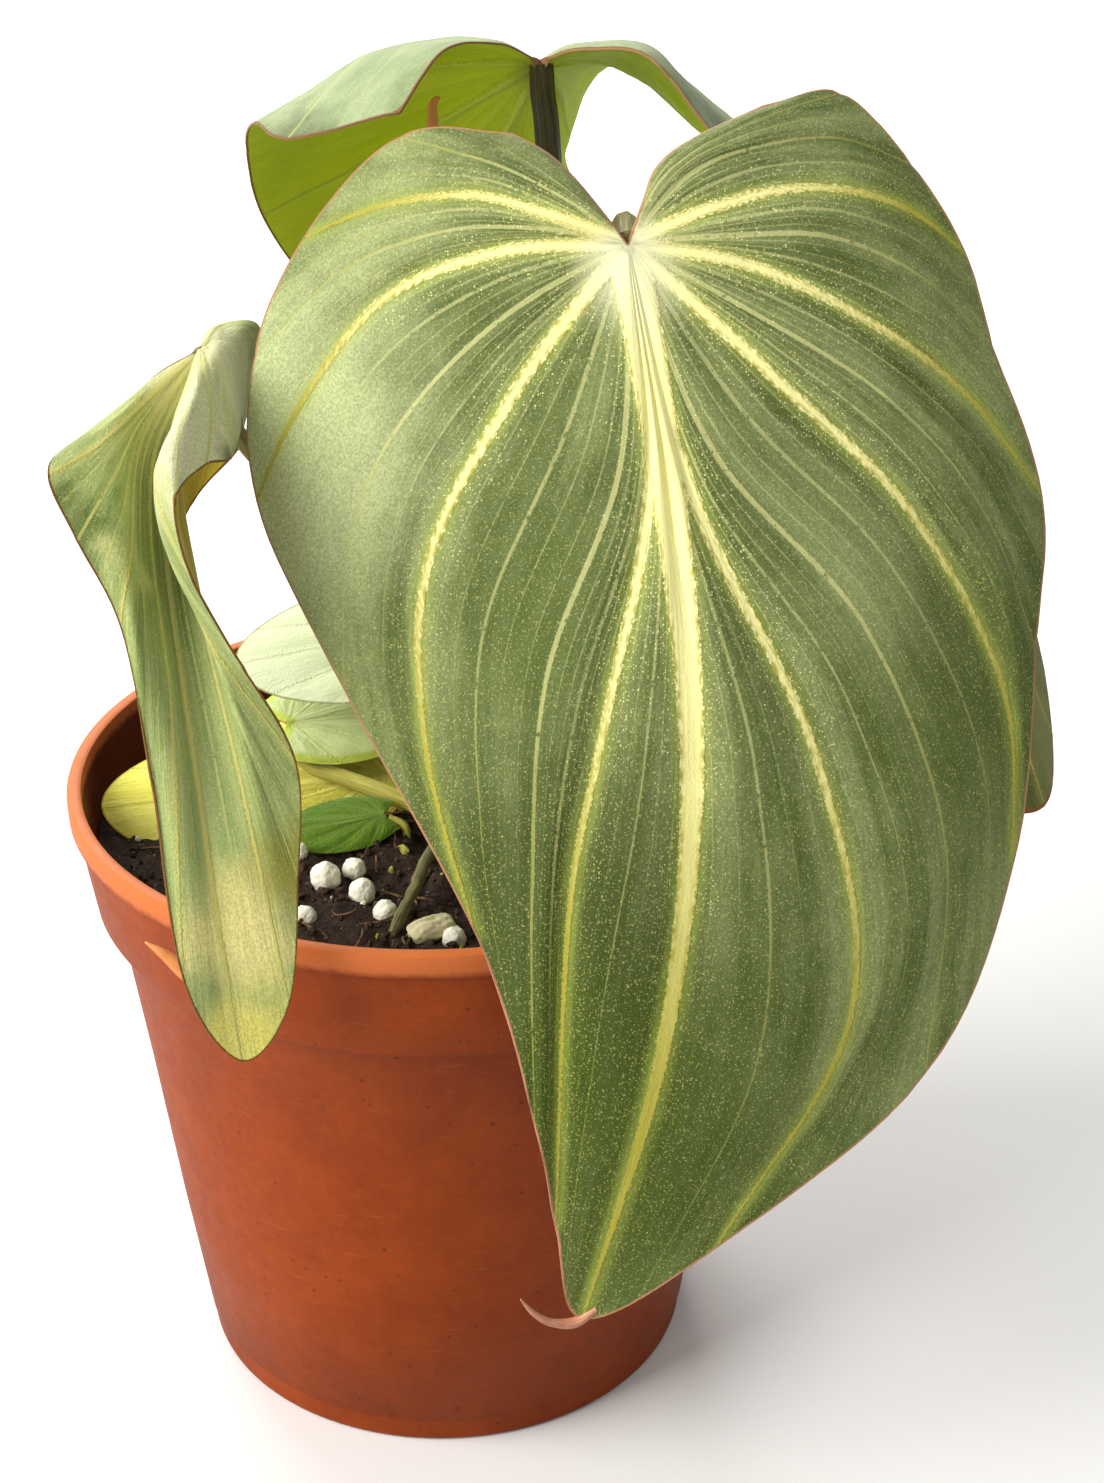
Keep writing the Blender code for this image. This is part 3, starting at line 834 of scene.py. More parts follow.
@dataclass(frozen=True)
class PotFinish:
    """Satin moulded plastic with a painted highlight along its lip, and scuffs, smudges and faint mould
    lines.
    """

    side: PotSide
    deep: Colour
    bright: Colour
    # lip and lip_from give a painted highlight along the top of the wall.
    lip: Colour
    lip_from: float
    smudge: Colour = screen(84, 32, 10)
    scuff: Colour = screen(210, 118, 66)
    roughness: float = 0.42

    def make(self) -> bpy.types.Material:
        """Build the material.

        Returns:
            The material, which is built once.
        """
        made = bpy.data.materials.get(self.side.value)
        if made is not None:
            return made
        graph, shader = start_material(self.side.value, self.roughness)
        shader.inputs["Specular IOR Level"].default_value = 0.22
        place = graph.place()
        _, _, z = graph.split(place)
        patch = graph.use(EFFECTS.get(Effect.MOTTLE), Place=place, Contrast=0.8)
        colour = graph.mix(patch, self.deep, self.bright)
        bands = graph.noise(graph.scaled(place, (0.02, 0.02, 1.1)), 1.0, 3.0)
        colour = graph.mix(graph.math("MULTIPLY", graph.step(bands, 0.5, 0.68), 0.22), colour, self.deep)
        drips = graph.noise(graph.scaled(place, (0.55, 0.55, 0.03)), 1.0, 3.0)
        colour = graph.mix(graph.math("MULTIPLY", graph.step(drips, 0.52, 0.7), 0.20), colour, self.bright)
        smudges = graph.use(EFFECTS.get(Effect.GRIME), Place=place, Size=5.0, Amount=0.30)
        colour = graph.mix(graph.math("MULTIPLY", smudges, 0.3), colour, self.smudge)
        specks = graph.use(EFFECTS.get(Effect.SPECKLE), Place=place, Gap=0.0, Reach=1.0,
                           Density=0.03, Size=1.1)
        colour = graph.mix(graph.math("MULTIPLY", specks, 0.6), colour, self.smudge)
        scratch = graph.noise(graph.scaled(place, (0.16, 0.16, 2.6)), 1.0, 2.0)
        worn = graph.math("MULTIPLY", graph.step(scratch, 0.68, 0.74), 0.25)
        colour = graph.mix(worn, colour, self.scuff)
        # Painted highlight: the colour is mixed towards the paler lip colour from lip_from up.
        lip = graph.step(graph.math("ADD", z, graph.math("MULTIPLY", graph.noise(place, 0.5), 1.2)),
                         self.lip_from, self.lip_from + 1.6)
        colour = graph.mix(graph.math("MULTIPLY", lip, 0.8), colour, self.lip)
        graph.feed(shader.inputs["Base Color"], colour)
        rough = graph.node("MapRange")
        graph.feed(rough.inputs["Value"], graph.noise(place, 0.35, 4.0))
        rough.inputs["To Min"].default_value = self.roughness - 0.08
        rough.inputs["To Max"].default_value = self.roughness + 0.16
        graph.feed(shader.inputs["Roughness"], rough.outputs["Result"])
        height = graph.math("ADD", graph.math("MULTIPLY", graph.noise(place, 1.3, 3.0), 0.5),
                            graph.math("MULTIPLY", bands, 0.5))
        raise_relief(graph, shader, height, 0.12)
        return bpy.data.materials[self.side.value]


# Pot and soil


@dataclass
class Pot:
    """Thin round pot with a deep collar, a small lip and drain holes."""

    height: float = 107.0
    rim: float = 60.0
    collar: float = 56.6
    collar_foot: float = 86.5
    body: float = 53.4
    base: float = 42.0
    wall: float = 1.4
    lip: float = 2.4
    floor: float = 1.6
    segments: int = 176
    drain_holes: int = 6
    drain_radius: float = 4.0
    drain_circle: float = 27.0
    outside: PotFinish = PotFinish(
        PotSide.OUTSIDE, deep=screen(134, 50, 2), bright=screen(166, 70, 8), lip=screen(220, 120, 62),
        lip_from=103.4)
    # The inside is the same plastic in darker colours: painted shade inside the pot.
    inside: PotFinish = PotFinish(
        PotSide.INSIDE, deep=screen(84, 34, 12), bright=screen(124, 54, 22), lip=screen(222, 122, 78),
        lip_from=104.4)

    def wall_radius(self, height: float) -> float:
        """Inner radius of the pot at a height above its floor.

        Args:
            height: Height above the underside.

        Returns:
            The radius.
        """
        heights = (self.floor + 0.8, self.collar_foot - 1.2, self.collar_foot + 1.6, self.height - 2.5)
        radii = (self.base - self.wall + 0.1, self.body - self.wall, self.collar - self.wall - 0.6,
                 self.rim - self.lip)
        return float(np.interp(height, heights, radii))

    def profile(self) -> list[tuple[float, float]]:
        """Radius and height along the wall's section, from the underside up and down inside.

        Returns:
            The points of the section.
        """
        lip = self.rim - self.lip
        section = [
            (0, 0), (20, 0), (self.base - 0.8, 0), (self.base - 0.2, 0.25), (self.base, 0.8),
            (self.base + 0.1, 4.0), (self.base + 0.3, 4.6), (self.base + 0.7, 5.0), (self.base + 4.2, 30.0),
            (self.base + 7.7, 58.0), (self.body, self.collar_foot - 1.5),
            (self.body + 0.5, self.collar_foot - 0.6), (self.collar - 1.2, self.collar_foot),
            (self.collar - 0.4, self.collar_foot + 0.4), (self.collar, self.collar_foot + 1.2),
            (self.collar + 1.2, self.collar_foot + 9.0),
            (self.rim - 1.2, self.height - 4.4), (self.rim - 0.35, self.height - 4.1),
            (self.rim - 0.1, self.height - 3.6), (self.rim, self.height - 0.8),
            (self.rim - 0.2, self.height - 0.25), (self.rim - 0.6, self.height), (lip + 0.6, self.height),
            (lip + 0.15, self.height - 0.2), (lip, self.height - 0.6),
        ]
        for height in (self.height - 2.5, self.collar_foot + 1.6, self.collar_foot - 1.2, self.floor + 0.8):
            section.append((self.wall_radius(height), height))
        return section + [(self.base - self.wall - 0.8, self.floor), (20, self.floor), (0, self.floor)]

    def build(self) -> bpy.types.Object:
        """Spin the section, cut the drain holes and dress the pot.

        Returns:
            The pot.
        """
        section = [(radius, 0.0, height) for radius, height in self.profile()]
        edges = [(k, k + 1) for k in range(len(section) - 1)]
        mesh = bpy.data.meshes.new("pot_shell")
        mesh.from_pydata([tuple(v * MM for v in p) for p in section], edges, [])
        pot = bpy.data.objects.new("pot_shell", mesh)
        bpy.context.scene.collection.objects.link(pot)
        choose(pot)
        bpy.ops.object.mode_set(mode="EDIT")
        bpy.ops.mesh.select_all(action="SELECT")
        bpy.ops.mesh.spin(steps=self.segments, angle=math.tau, center=(0, 0, 0), axis=(0, 0, 1))
        bpy.ops.mesh.select_all(action="SELECT")
        bpy.ops.mesh.remove_doubles(threshold=0.01 * MM)
        bpy.ops.mesh.normals_make_consistent(inside=False)
        bpy.ops.object.mode_set(mode="OBJECT")
        for k in range(self.drain_holes):
            self.cut_drain(pot, math.tau * (k + 0.5) / self.drain_holes)
        choose(pot)
        bpy.ops.object.shade_smooth_by_angle(angle=math.radians(38))
        mesh = pot.data
        mesh.materials.append(self.outside.make())
        mesh.materials.append(self.inside.make())
        for face in mesh.polygons:
            inward = face.normal.x * face.center.x + face.normal.y * face.center.y < 0
            low = face.center.z < (self.height - 0.7) * MM
            floor = face.normal.z > 0.7 and face.center.z < 5 * MM
            face.material_index = 1 if (inward and low) or floor else 0
        return dress(pot, "pot_plastic", "pot")

    def cut_drain(self, pot: bpy.types.Object, angle: float) -> None:
        """Cut one drain hole through the floor, at an angle round it.

        Args:
            pot: The pot.
            angle: Where the hole lies, in radians.
        """
        away = self.drain_circle * MM
        place = (away * math.cos(angle), away * math.sin(angle), self.floor / 2 * MM)
        clear_choice()
        bpy.ops.mesh.primitive_cylinder_add(vertices=28, radius=self.drain_radius * MM, depth=6 * MM,
                                            location=place)
        guide = bpy.context.object
        choose(pot)
        cut = pot.modifiers.new("drain", "BOOLEAN")
        cut.operation = "DIFFERENCE"
        cut.solver = "EXACT"
        cut.object = guide
        bpy.ops.object.modifier_apply(modifier=cut.name)
        bpy.data.objects.remove(guide, do_unlink=True)


@dataclass
class Soil:
    """Loose peat with crumbs, fibres and moss on top."""

    pot: Pot
    level: float = 96.0
    clod_height: float = 1.6
    clod_size: float = 7.0
    segments: int = 150
    rings: int = 56
    crumbs: int = 1500
    fibres: int = 170
    moss: int = 110
    grits: int = 46
    gap: float = 0.3
    earth: GrainFinish = GrainFinish(
        "potting soil", dark=screen(26, 18, 14), light=screen(62, 44, 34), fleck=screen(104, 80, 58),
        fleck_density=0.10, roughness=0.97, relief=0.9)
    crumb: GrainFinish = GrainFinish(
        "soil crumb", dark=screen(30, 21, 16), light=screen(80, 58, 45), fleck=screen(120, 92, 66),
        fleck_size=0.6, fleck_density=0.14, roughness=0.97, relief=0.4, size=0.8)
    strand: GrainFinish = GrainFinish(
        "soil fibre", dark=screen(72, 50, 34), light=screen(134, 104, 70), fleck=screen(160, 130, 90),
        fleck_size=0.5, fleck_density=0.2, roughness=0.9, relief=0.15, size=0.6)
    green: GrainFinish = GrainFinish(
        "moss bit", dark=screen(104, 104, 38), light=screen(168, 164, 76), fleck=screen(196, 190, 110),
        fleck_size=0.5, fleck_density=0.25, relief=0.3, size=0.6)
    grit: GrainFinish = GrainFinish(
        "perlite crumb", dark=screen(196, 190, 160), light=screen(234, 230, 206),
        fleck=screen(150, 140, 108), fleck_size=0.5, fleck_density=0.14, relief=0.35, size=0.7)

    def clod(self, x: float, y: float) -> float:
        """Height of the soil's top above a point, as the CAD solid has it.

        Args:
            x: Place to the right.
            y: Place to the back.

        Returns:
            The height.
        """
        coarse = noise.noise(Vector((x, y, 3.0)) / self.clod_size)
        fine = 0.5 * noise.noise(Vector((x, y, 9.0)) * 2.3 / self.clod_size)
        inner = self.pot.wall_radius(self.level)
        return self.level + self.clod_height * (coarse + fine) * (1 - (math.hypot(x, y) / inner) ** 6)

    def top(self, x: float, y: float) -> float:
        """Height of the dressed soil, with crumbly small relief.

        Args:
            x: Place to the right.
            y: Place to the back.

        Returns:
            The height.
        """
        small = noise.noise(Vector((x, y, 1.0)) / 2.1)
        tiny = noise.noise(Vector((x, y, 5.0)) / 0.9)
        return self.clod(x, y) + 0.75 * small + 0.35 * tiny

    def build(self) -> None:
        """Build the bed of soil and everything strewn on it."""
        self.build_bed()
        draw = random.Random(11)
        self.strew("soil_crumbs", self.crumbs, (0.35, 1.25), self.crumb, draw, "potting_soil", 52.0)
        self.strew("soil_moss", self.moss, (0.4, 1.3), self.green, draw, "potting_soil", 50.0)
        self.strew("perlite_crumbs", self.grits, (0.45, 1.15), self.grit, draw, "perlite", 51.0)
        self.build_fibres(draw)

    def build_bed(self) -> bpy.types.Object:
        """Closed body of soil inside the pot, with a finely broken top.

        Returns:
            The bed of soil.
        """
        wall = self.pot
        low = [(wall.base - wall.wall - 0.8 - self.gap, wall.floor + self.gap)]
        levels = (wall.floor + 0.8 + self.gap, wall.collar_foot - 1.2, wall.collar_foot + 1.6,
                  self.level - 1.2)
        for height in levels:
            low.append((wall.wall_radius(height) - self.gap * 1.2, height))
        rim = wall.wall_radius(self.level) - self.gap * 1.2
        section = low + [(rim * (1 - k / self.rings), self.level) for k in range(self.rings)]
        points = [(0.0, 0.0, wall.floor + self.gap)]
        for row, (radius, height) in enumerate(section):
            for k in range(self.segments):
                angle = math.tau * k / self.segments
                x, y = radius * math.cos(angle), radius * math.sin(angle)
                fade = 1.0 if row > len(low) + 1 else 0.3
                z = height if row < len(low) else height + (self.top(x, y) - height) * fade
                points.append((x, y, z))
        points.append((0.0, 0.0, self.top(0, 0)))
        faces = []
        last = len(points) - 1
        for k in range(self.segments):
            n = (k + 1) % self.segments
            faces.append((0, 1 + n, 1 + k))
            for row in range(len(section) - 1):
                near = 1 + row * self.segments
                far = near + self.segments
                faces.append((near + k, near + n, far + n, far + k))
            end = 1 + (len(section) - 1) * self.segments
            faces.append((end + k, end + n, last))
        bed = add_mesh("soil_bed", points, faces, [self.earth.make()], (), 80)
        return dress(bed, "potting_soil", "soil")

    def strew(self, name: str, count: int, sizes: tuple[float, float], finish: GrainFinish,
              draw: random.Random, slot: str, reach: float) -> bpy.types.Object:
        """Scatter small broken lumps over the soil as one mesh.

        Args:
            name: The piece's name.
            count: How many lumps.
            sizes: Smallest and largest radius.
            finish: Their finish.
            draw: Source of chance.
            slot: The record's material slot.
            reach: How far from the middle they lie.

        Returns:
            The joined piece.
        """
        clear_choice()
        bpy.ops.mesh.primitive_ico_sphere_add(subdivisions=1, radius=1.0)
        seed = bpy.context.object
        shape = np.array([vertex.co[:] for vertex in seed.data.vertices])
        faces = [tuple(face.vertices) for face in seed.data.polygons]
        bpy.data.objects.remove(seed, do_unlink=True)
        points, joined = [], []
        for k in range(count):
            away = reach * math.sqrt(draw.random())
            angle = draw.uniform(0, math.tau)
            x, y = away * math.cos(angle), away * math.sin(angle)
            size = sizes[0] + (sizes[1] - sizes[0]) * draw.random() ** 2.2
            stretch = [draw.uniform(0.7, 1.3), draw.uniform(0.6, 1.2), draw.uniform(0.5, 0.9)]
            stretch = np.array(stretch) * size
            broken = shape * np.array([[draw.uniform(0.7, 1.15)] for _ in shape]) * stretch
            turn = np.array(Quaternion((draw.random(), draw.random(), draw.random(), draw.random() + 0.1))
                            .normalized().to_matrix())
            first = len(points)
            points.extend(broken @ turn.T + (x, y, self.top(x, y) + size * 0.25))
            joined.extend(tuple(first + v for v in face) for face in faces)
        piece = add_mesh(name, points, joined, [finish.make()], (), 25)
        return dress(piece, slot)

    def build_fibres(self, draw: random.Random) -> bpy.types.Object:
        """Short peat fibres that lie bent over the crumbs.

        Args:
            draw: Source of chance.

        Returns:
            The joined fibres.
        """
        points, faces = [], []
        for _ in range(self.fibres):
            away = 50 * math.sqrt(draw.random())
            angle = draw.uniform(0, math.tau)
            x, y = away * math.cos(angle), away * math.sin(angle)
            heading = draw.uniform(0, math.tau)
            length = draw.uniform(3, 9)
            path = []
            for k in range(5):
                path.append((x, y, self.top(x, y) + 0.35 + draw.uniform(0, 0.5)))
                heading += draw.uniform(-0.6, 0.6)
                x += math.cos(heading) * length / 4
                y += math.sin(heading) * length / 4
                if math.hypot(x, y) > 53:
                    break
            if len(path) < 3:
                continue
            wide = draw.uniform(0.1, 0.24)
            shape = Tube(tuple(path), tuple([wide] * (len(path) - 1) + [wide * 0.4]), 5, 2)
            more, sides, _ = shape.mesh()
            first = len(points)
            points.extend(more)
            faces.extend(tuple(first + v for v in face) for face in sides)
        piece = add_mesh("soil_fibres", points, faces, [self.strand.make()])
        return dress(piece, "potting_soil")


# Stalks, rhizome and the other round pieces


@dataclass
class Tube:
    """Closed tube through the points of a path, with a radius at each and flutes round it."""

    path: tuple[Point, ...]
    radii: tuple[float, ...]
    sides: int = 24
    steps: int = 8
    flutes: int = 0
    flute_depth: float = 0.0
    rough: float = 0.0
    rough_size: float = 2.0
    rings: float = 0.0
    ring_depth: float = 0.0

    def mesh(self) -> tuple[np.ndarray, list, np.ndarray]:
        """Lay out the tube.

        Returns:
            Its points, its faces, and for each point its side, its turn and how far along it is.
        """
        places = np.linspace(0, len(self.path) - 1, (len(self.path) - 1) * self.steps + 1)
        middle = [Vector(p) for p in spline(np.array(self.path, float), places)]
        widths = spline(np.array(self.radii, float).reshape(-1, 1), places)[:, 0]
        along = np.concatenate([[0], np.cumsum([(b - a).length for a, b in zip(middle, middle[1:])])])
        aim = (middle[1] - middle[0]).normalized()
        side = aim.orthogonal().normalized()
        points, flow = [middle[0]], [(0.0, 0.0, 0.0)]
        for k, centre in enumerate(middle):
            ahead = (middle[min(k + 1, len(middle) - 1)] - middle[max(k - 1, 0)]).normalized()
            side = aim.rotation_difference(ahead) @ side
            aim = ahead
            ring = 1 + self.ring_depth * math.cos(along[k] * self.rings) ** 8 if self.rings else 1.0
            for j in range(self.sides):
                angle = math.tau * j / self.sides
                turned = Quaternion(aim, angle) @ side
                radius = float(widths[k]) * ring * (1 + self.flute_depth * math.cos(self.flutes * angle))
                if self.rough:
                    radius += self.rough * noise.noise((centre + turned * radius) / self.rough_size)
                points.append(centre + turned * radius)
                flow.append((math.cos(angle) * widths[k], math.sin(angle) * widths[k], along[k]))
        points.append(middle[-1] + aim * float(widths[-1]) * 0.4)
        flow.append((0.0, 0.0, along[-1]))
        faces = []
        last = len(points) - 1
        top = last - self.sides
        for j in range(self.sides):
            n = (j + 1) % self.sides
            faces.append((0, 1 + n, 1 + j))
            faces.append((top + j, top + n, last))
            for k in range(len(middle) - 1):
                low = 1 + k * self.sides
                faces.append((low + j, low + n, low + self.sides + n, low + self.sides + j))
        return np.array([tuple(p) for p in points]), faces, np.array(flow)

    def build(self, name: str, finish: bpy.types.Material, slot: str, *nodes: str) -> bpy.types.Object:
        """Make the tube a dressed piece.

        Args:
            name: The piece's name.
            finish: Its material.
            slot: The record's material slot.
            nodes: The CAD nodes that it replaces.

        Returns:
            The piece.
        """
        points, faces, flow = self.mesh()
        piece = add_mesh(name, points, faces, [finish], (), 60)
        note_vectors(piece, "flow", flow)
        return dress(piece, slot, *nodes)


def taper(path: tuple[Point, ...], foot: float, top: float) -> tuple[float, ...]:
    """Narrow a stalk evenly.

    Args:
        path: The points along its middle.
        foot: Radius at its first point.
        top: Radius at its last point.

    Returns:
        The radius at each point.
    """
    count = len(path)
    return tuple(foot + (top - foot) * k / (count - 1) for k in range(count))


OLIVE = StalkFinish(
    "olive stalk", dark=screen(104, 98, 44), light=screen(160, 156, 82), blotch=screen(150, 108, 80),
    blotch_share=0.35)
DARK = StalkFinish(
    "dark stalk", dark=screen(26, 20, 6), light=screen(92, 82, 30), blotch=screen(60, 36, 20),
    blotch_share=0.35, roughness=0.4, relief=0.2)
YELLOW = StalkFinish(
    "yellow stalk", dark=screen(150, 150, 46), light=screen(200, 196, 92), blotch=screen(176, 150, 70))


@dataclass(frozen=True)
class Stalk:
    """One leaf stalk, from its foot in the soil or the rhizome up into the back of its blade."""

    leaf: str
    path: tuple[Point, ...]
    foot: float
    top: float
    finish: StalkFinish = OLIVE
    slot: str = "petiole_olive"
    sides: int = 28
    steps: int = 10
    flutes: int = 5
    flute_depth: float = 0.05

    def build(self) -> None:
        """Build the stalk and tie it to the CAD stalk of its leaf."""
        radii = taper(self.path, self.foot, self.top)
        tube = Tube(self.path, radii, self.sides, self.steps, self.flutes, self.flute_depth)
        tube.build(self.leaf + "_stalk", self.finish.make(), self.slot, "petiole_" + self.leaf)


@dataclass
class Stalks:
    """The leaf stalks in the order of their leaves."""

    front: Stalk = Stalk(
        "front", ((14, 2, 99.0), (15, 4, 125), (19, 4, 160), (26, -3, 190), (29, -13, 200.6),
                  (29.5, -20, 203.2), (29.5, -26.6, 203.0)),
        foot=2.1, top=1.5, steps=12, flutes=7)
    rear: Stalk = Stalk(
        "rear", ((24, 5.5, 99.0), (23, 10, 130), (20, 16, 170), (18.4, 17.5, 204), (17.6, 18.3, 212),
                 (17.3, 19.2, 216.6)),
        foot=2.0, top=1.8, finish=DARK, slot="petiole_dark", sides=36, steps=14, flutes=9, flute_depth=0.07)
    left: Stalk = Stalk(
        "left", ((8.5, 0.2, 99.0), (6, -4, 130), (-4, -6, 148), (-16, -8, 158), (-24, -12, 164),
                 (-29, -16, 173), (-31.2, -20, 182), (-31.5, -22, 185)),
        foot=1.8, top=1.2, flutes=6)
    right: Stalk = Stalk(
        "right", ((32, 8.2, 99.0), (38, 12, 120), (52, 17, 141), (67, 19, 153), (77.2, 16.4, 154.4)),
        foot=1.8, top=1.2, steps=12, flutes=6)
    mid: Stalk = Stalk(
        "mid", ((19, 4, 99.4), (17, 11, 113), (11, 15.5, 123), (4.6, 14.8, 125.6)),
        foot=1.2, top=0.9, sides=20)
    low: Stalk = Stalk(
        "low", ((0.2, -2.7, 99.0), (-7.6, 0, 100.9), (-15.2, 3, 102.4), (-20.5, 4.6, 103.6),
                (-23.4, 6.2, 105.8), (-24.7, 7.7, 109.2)),
        foot=1.6, top=1.0, finish=YELLOW, slot="petiole_yellow", sides=24, flute_depth=0.06)
    young: Stalk = Stalk(
        "young", ((-4.4, -6.4, 93.0), (-4.8, -6.4, 97.5), (-5.6, -6.2, 99), (-7.6, -6, 99.9)),
        foot=0.8, top=0.6, finish=YELLOW, slot="petiole_yellow", sides=16, steps=8, flutes=4,
        flute_depth=0.04)
    old: Stalk = Stalk(
        "old", ((-4.4, 7.4, 92.5), (-4.8, 7.6, 97.5), (-6.0, 7.8, 100.0), (-8.2, 7.6, 101.0)),
        foot=1.1, top=0.8, finish=YELLOW, slot="petiole_yellow", sides=16, steps=8, flutes=4,
        flute_depth=0.04)

    def build(self) -> None:
        """Build every stalk."""
        tall = (self.front, self.rear, self.left, self.right)
        short = (self.mid, self.low, self.young, self.old)
        for stalk in tall + short:
            stalk.build()


@dataclass
class Ground:
    """What lies on or in the soil: rhizome, root, rolled leaf, scale leaf, bark and perlite."""

    soil: Soil
    rhizome_path: tuple[Point, ...] = ((-2.0, -3.0, 99.0), (3, -1.6, 98.7), (14, 2.0, 98.4), (24, 5.5, 98.2),
                                       (34, 9.0, 98.0), (39, 11, 97.6))
    rhizome_radii: tuple[float, ...] = (3.4, 4.8, 5.6, 5.4, 4.6, 2.6)
    root_path: tuple[Point, ...] = ((3.0, -7.2, 98.7), (1.4, -14, 101.0), (-0.6, -21, 101.2),
                                    (-2.4, -28, 99.8), (-4.2, -33, 98), (-6.0, -37, 95.6), (-6.4, -38.6, 93))
    root_radii: tuple[float, ...] = (1.0, 1.0, 1.0, 0.95, 0.9, 0.8, 0.7)
    new_leaf_path: tuple[Point, ...] = ((4.6, -1.0, 99.4), (3.2, 0.0, 120), (1.6, 2.6, 160), (1.2, 4.0, 200),
                                        (1.3, 4.0, 212), (1.6, 3.9, 214.6), (2.4, 3.8, 215.4))
    new_leaf_radii: tuple[float, ...] = (1.9, 2.2, 2.3, 1.5, 0.8, 0.6, 0.3)
    scale_path: tuple[Point, ...] = ((-13.0, 20.0, 92.5), (-13.2, 20.4, 97), (-13.4, 19.8, 101),
                                     (-12.8, 18.4, 104.5))
    scale_radii: tuple[float, ...] = (2.2, 2.4, 1.8, 0.4)
    perlite: tuple[Point, ...] = ((-17.0, -21.2, 2.5), (-12.6, -18.4, 1.9), (-11.0, -24.8, 2.2),
                                  (-7.0, -30.4, 1.9), (-19.5, -31.0, 1.9), (4.0, -38.0, 1.9),
                                  (-22.0, -13.5, 1.6), (24.0, 33.0, 2.2), (-18.0, 38.0, 2.4),
                                  (42.0, -12.0, 2.0))
    bark_place: tuple[float, float] = (0.6, -35.4)
    bark_size: Point = (8.0, 4.6, 3.2)

    def build(self) -> None:
        """Build each piece in turn."""
        skin = GrainFinish(
            "rhizome skin", dark=screen(64, 54, 32), light=screen(116, 104, 60),
            fleck=screen(150, 128, 84), fleck_size=0.9, fleck_density=0.16, roughness=0.85, relief=0.45,
            size=1.2).make()
        Tube(self.rhizome_path, self.rhizome_radii, 48, 18, 0, 0.0, 0.5, 1.6, 1.15, 0.09).build(
            "rhizome_stem", skin, "rhizome_skin", "rhizome")
        root = StalkFinish(
            "root skin", dark=screen(84, 82, 44), light=screen(138, 134, 82), blotch=screen(96, 74, 48),
            blotch_share=0.5, roughness=0.8, relief=0.2)
        Tube(self.root_path, self.root_radii, 20, 14, 0, 0.0, 0.28, 1.3).build(
            "root_piece", root.make(), "rhizome_skin", "root_stub")
        rolled = StalkFinish(
            "rolled leaf skin", dark=screen(150, 138, 60), light=screen(206, 188, 104),
            blotch=screen(190, 140, 72), blotch_share=0.35, roughness=0.45, tip=screen(214, 138, 58),
            tip_from=203.0)
        Tube(self.new_leaf_path, self.new_leaf_radii, 32, 14, 1, 0.12).build(
            "rolled_leaf", rolled.make(), "new_leaf_skin", "new_leaf")
        red = StalkFinish(
            "scale leaf skin", dark=screen(74, 14, 12), light=screen(128, 30, 24),
            blotch=screen(48, 12, 12), blotch_share=0.5, roughness=0.5)
        Tube(self.scale_path, self.scale_radii, 28, 12, 3, 0.10).build(
            "red_scale", red.make(), "scale_red", "scale_leaf")
        self.build_perlite()
        self.build_bark()

    def build_perlite(self) -> None:
        """Chalky lumpy balls."""
        chalk = GrainFinish(
            "perlite", dark=screen(196, 190, 158), light=screen(236, 232, 210),
            fleck=screen(150, 140, 104), fleck_size=0.55, fleck_density=0.12, roughness=0.92, relief=0.35,
            size=0.8).make()
        for number, (x, y, radius) in enumerate(self.perlite, 1):
            centre = Vector((x, y, self.soil.clod(x, y) + radius * 0.55))
            clear_choice()
            bpy.ops.mesh.primitive_ico_sphere_add(subdivisions=5, radius=1.0)
            ball = bpy.context.object
            ball.name = "perlite_ball_%02d" % number
            ball.data.name = ball.name
            for vertex in ball.data.vertices:
                aim = vertex.co.normalized()
                lump = 0.10 * noise.noise(aim * 1.7 + Vector((number, 0, 0)))
                lump += 0.05 * noise.noise(aim * 4.5 + Vector((0, number, 0)))
                lump += 0.02 * noise.noise(aim * 12 + Vector((0, 0, number)))
                vertex.co = (centre + aim * radius * (0.98 + lump)) * MM
            ball.data.materials.append(chalk)
            ball.data.shade_smooth()
            dress(ball, "perlite", "perlite_%02d" % number)

    def build_bark(self) -> None:
        """Weathered wedge of bark, bevelled, subdivided and roughened."""
        wood = GrainFinish(
            "bark", dark=screen(128, 114, 62), light=screen(198, 184, 116), fleck=screen(84, 70, 40),
            fleck_density=0.18, roughness=0.92, size=1.1).make()
        clear_choice()
        bpy.ops.mesh.primitive_cube_add(size=1.0)
        chip = bpy.context.object
        chip.name = "bark_piece"
        chip.data.name = "bark_piece"
        x, y = self.bark_place
        centre = Vector((x, y, self.soil.clod(x, y) + 0.9))
        turn = Quaternion((0, 0, 1), math.radians(28)) @ Quaternion((1, 0, 0), math.radians(12))
        bpy.ops.object.mode_set(mode="EDIT")
        bpy.ops.mesh.select_all(action="SELECT")
        bpy.ops.mesh.subdivide(number_cuts=22)
        bpy.ops.object.mode_set(mode="OBJECT")
        for vertex in chip.data.vertices:
            raw = vertex.co * 2
            round_off = raw / max((abs(raw.x) ** 4 + abs(raw.y) ** 4 + abs(raw.z) ** 4) ** 0.25, 1e-6)
            narrow = 1.0 - 0.28 * max(round_off.z, 0) - 0.15 * max(-round_off.z, 0)
            shaped = Vector((round_off.x * self.bark_size[0] / 2 * narrow,
                             round_off.y * self.bark_size[1] / 2 * narrow,
                             round_off.z * self.bark_size[2] / 2))
            ridge = 0.35 * noise.noise(Vector((shaped.x / 3.0, shaped.y / 0.8, shaped.z / 0.8)))
            ridge += 0.15 * noise.noise(shaped / 0.6)
            shaped += shaped.normalized() * ridge
            vertex.co = (centre + turn @ shaped) * MM
        chip.data.materials.append(wood)
        choose(chip)
        bpy.ops.object.shade_smooth_by_angle(angle=math.radians(50))
        dress(chip, "bark", "bark_chip")


# Leaf blades


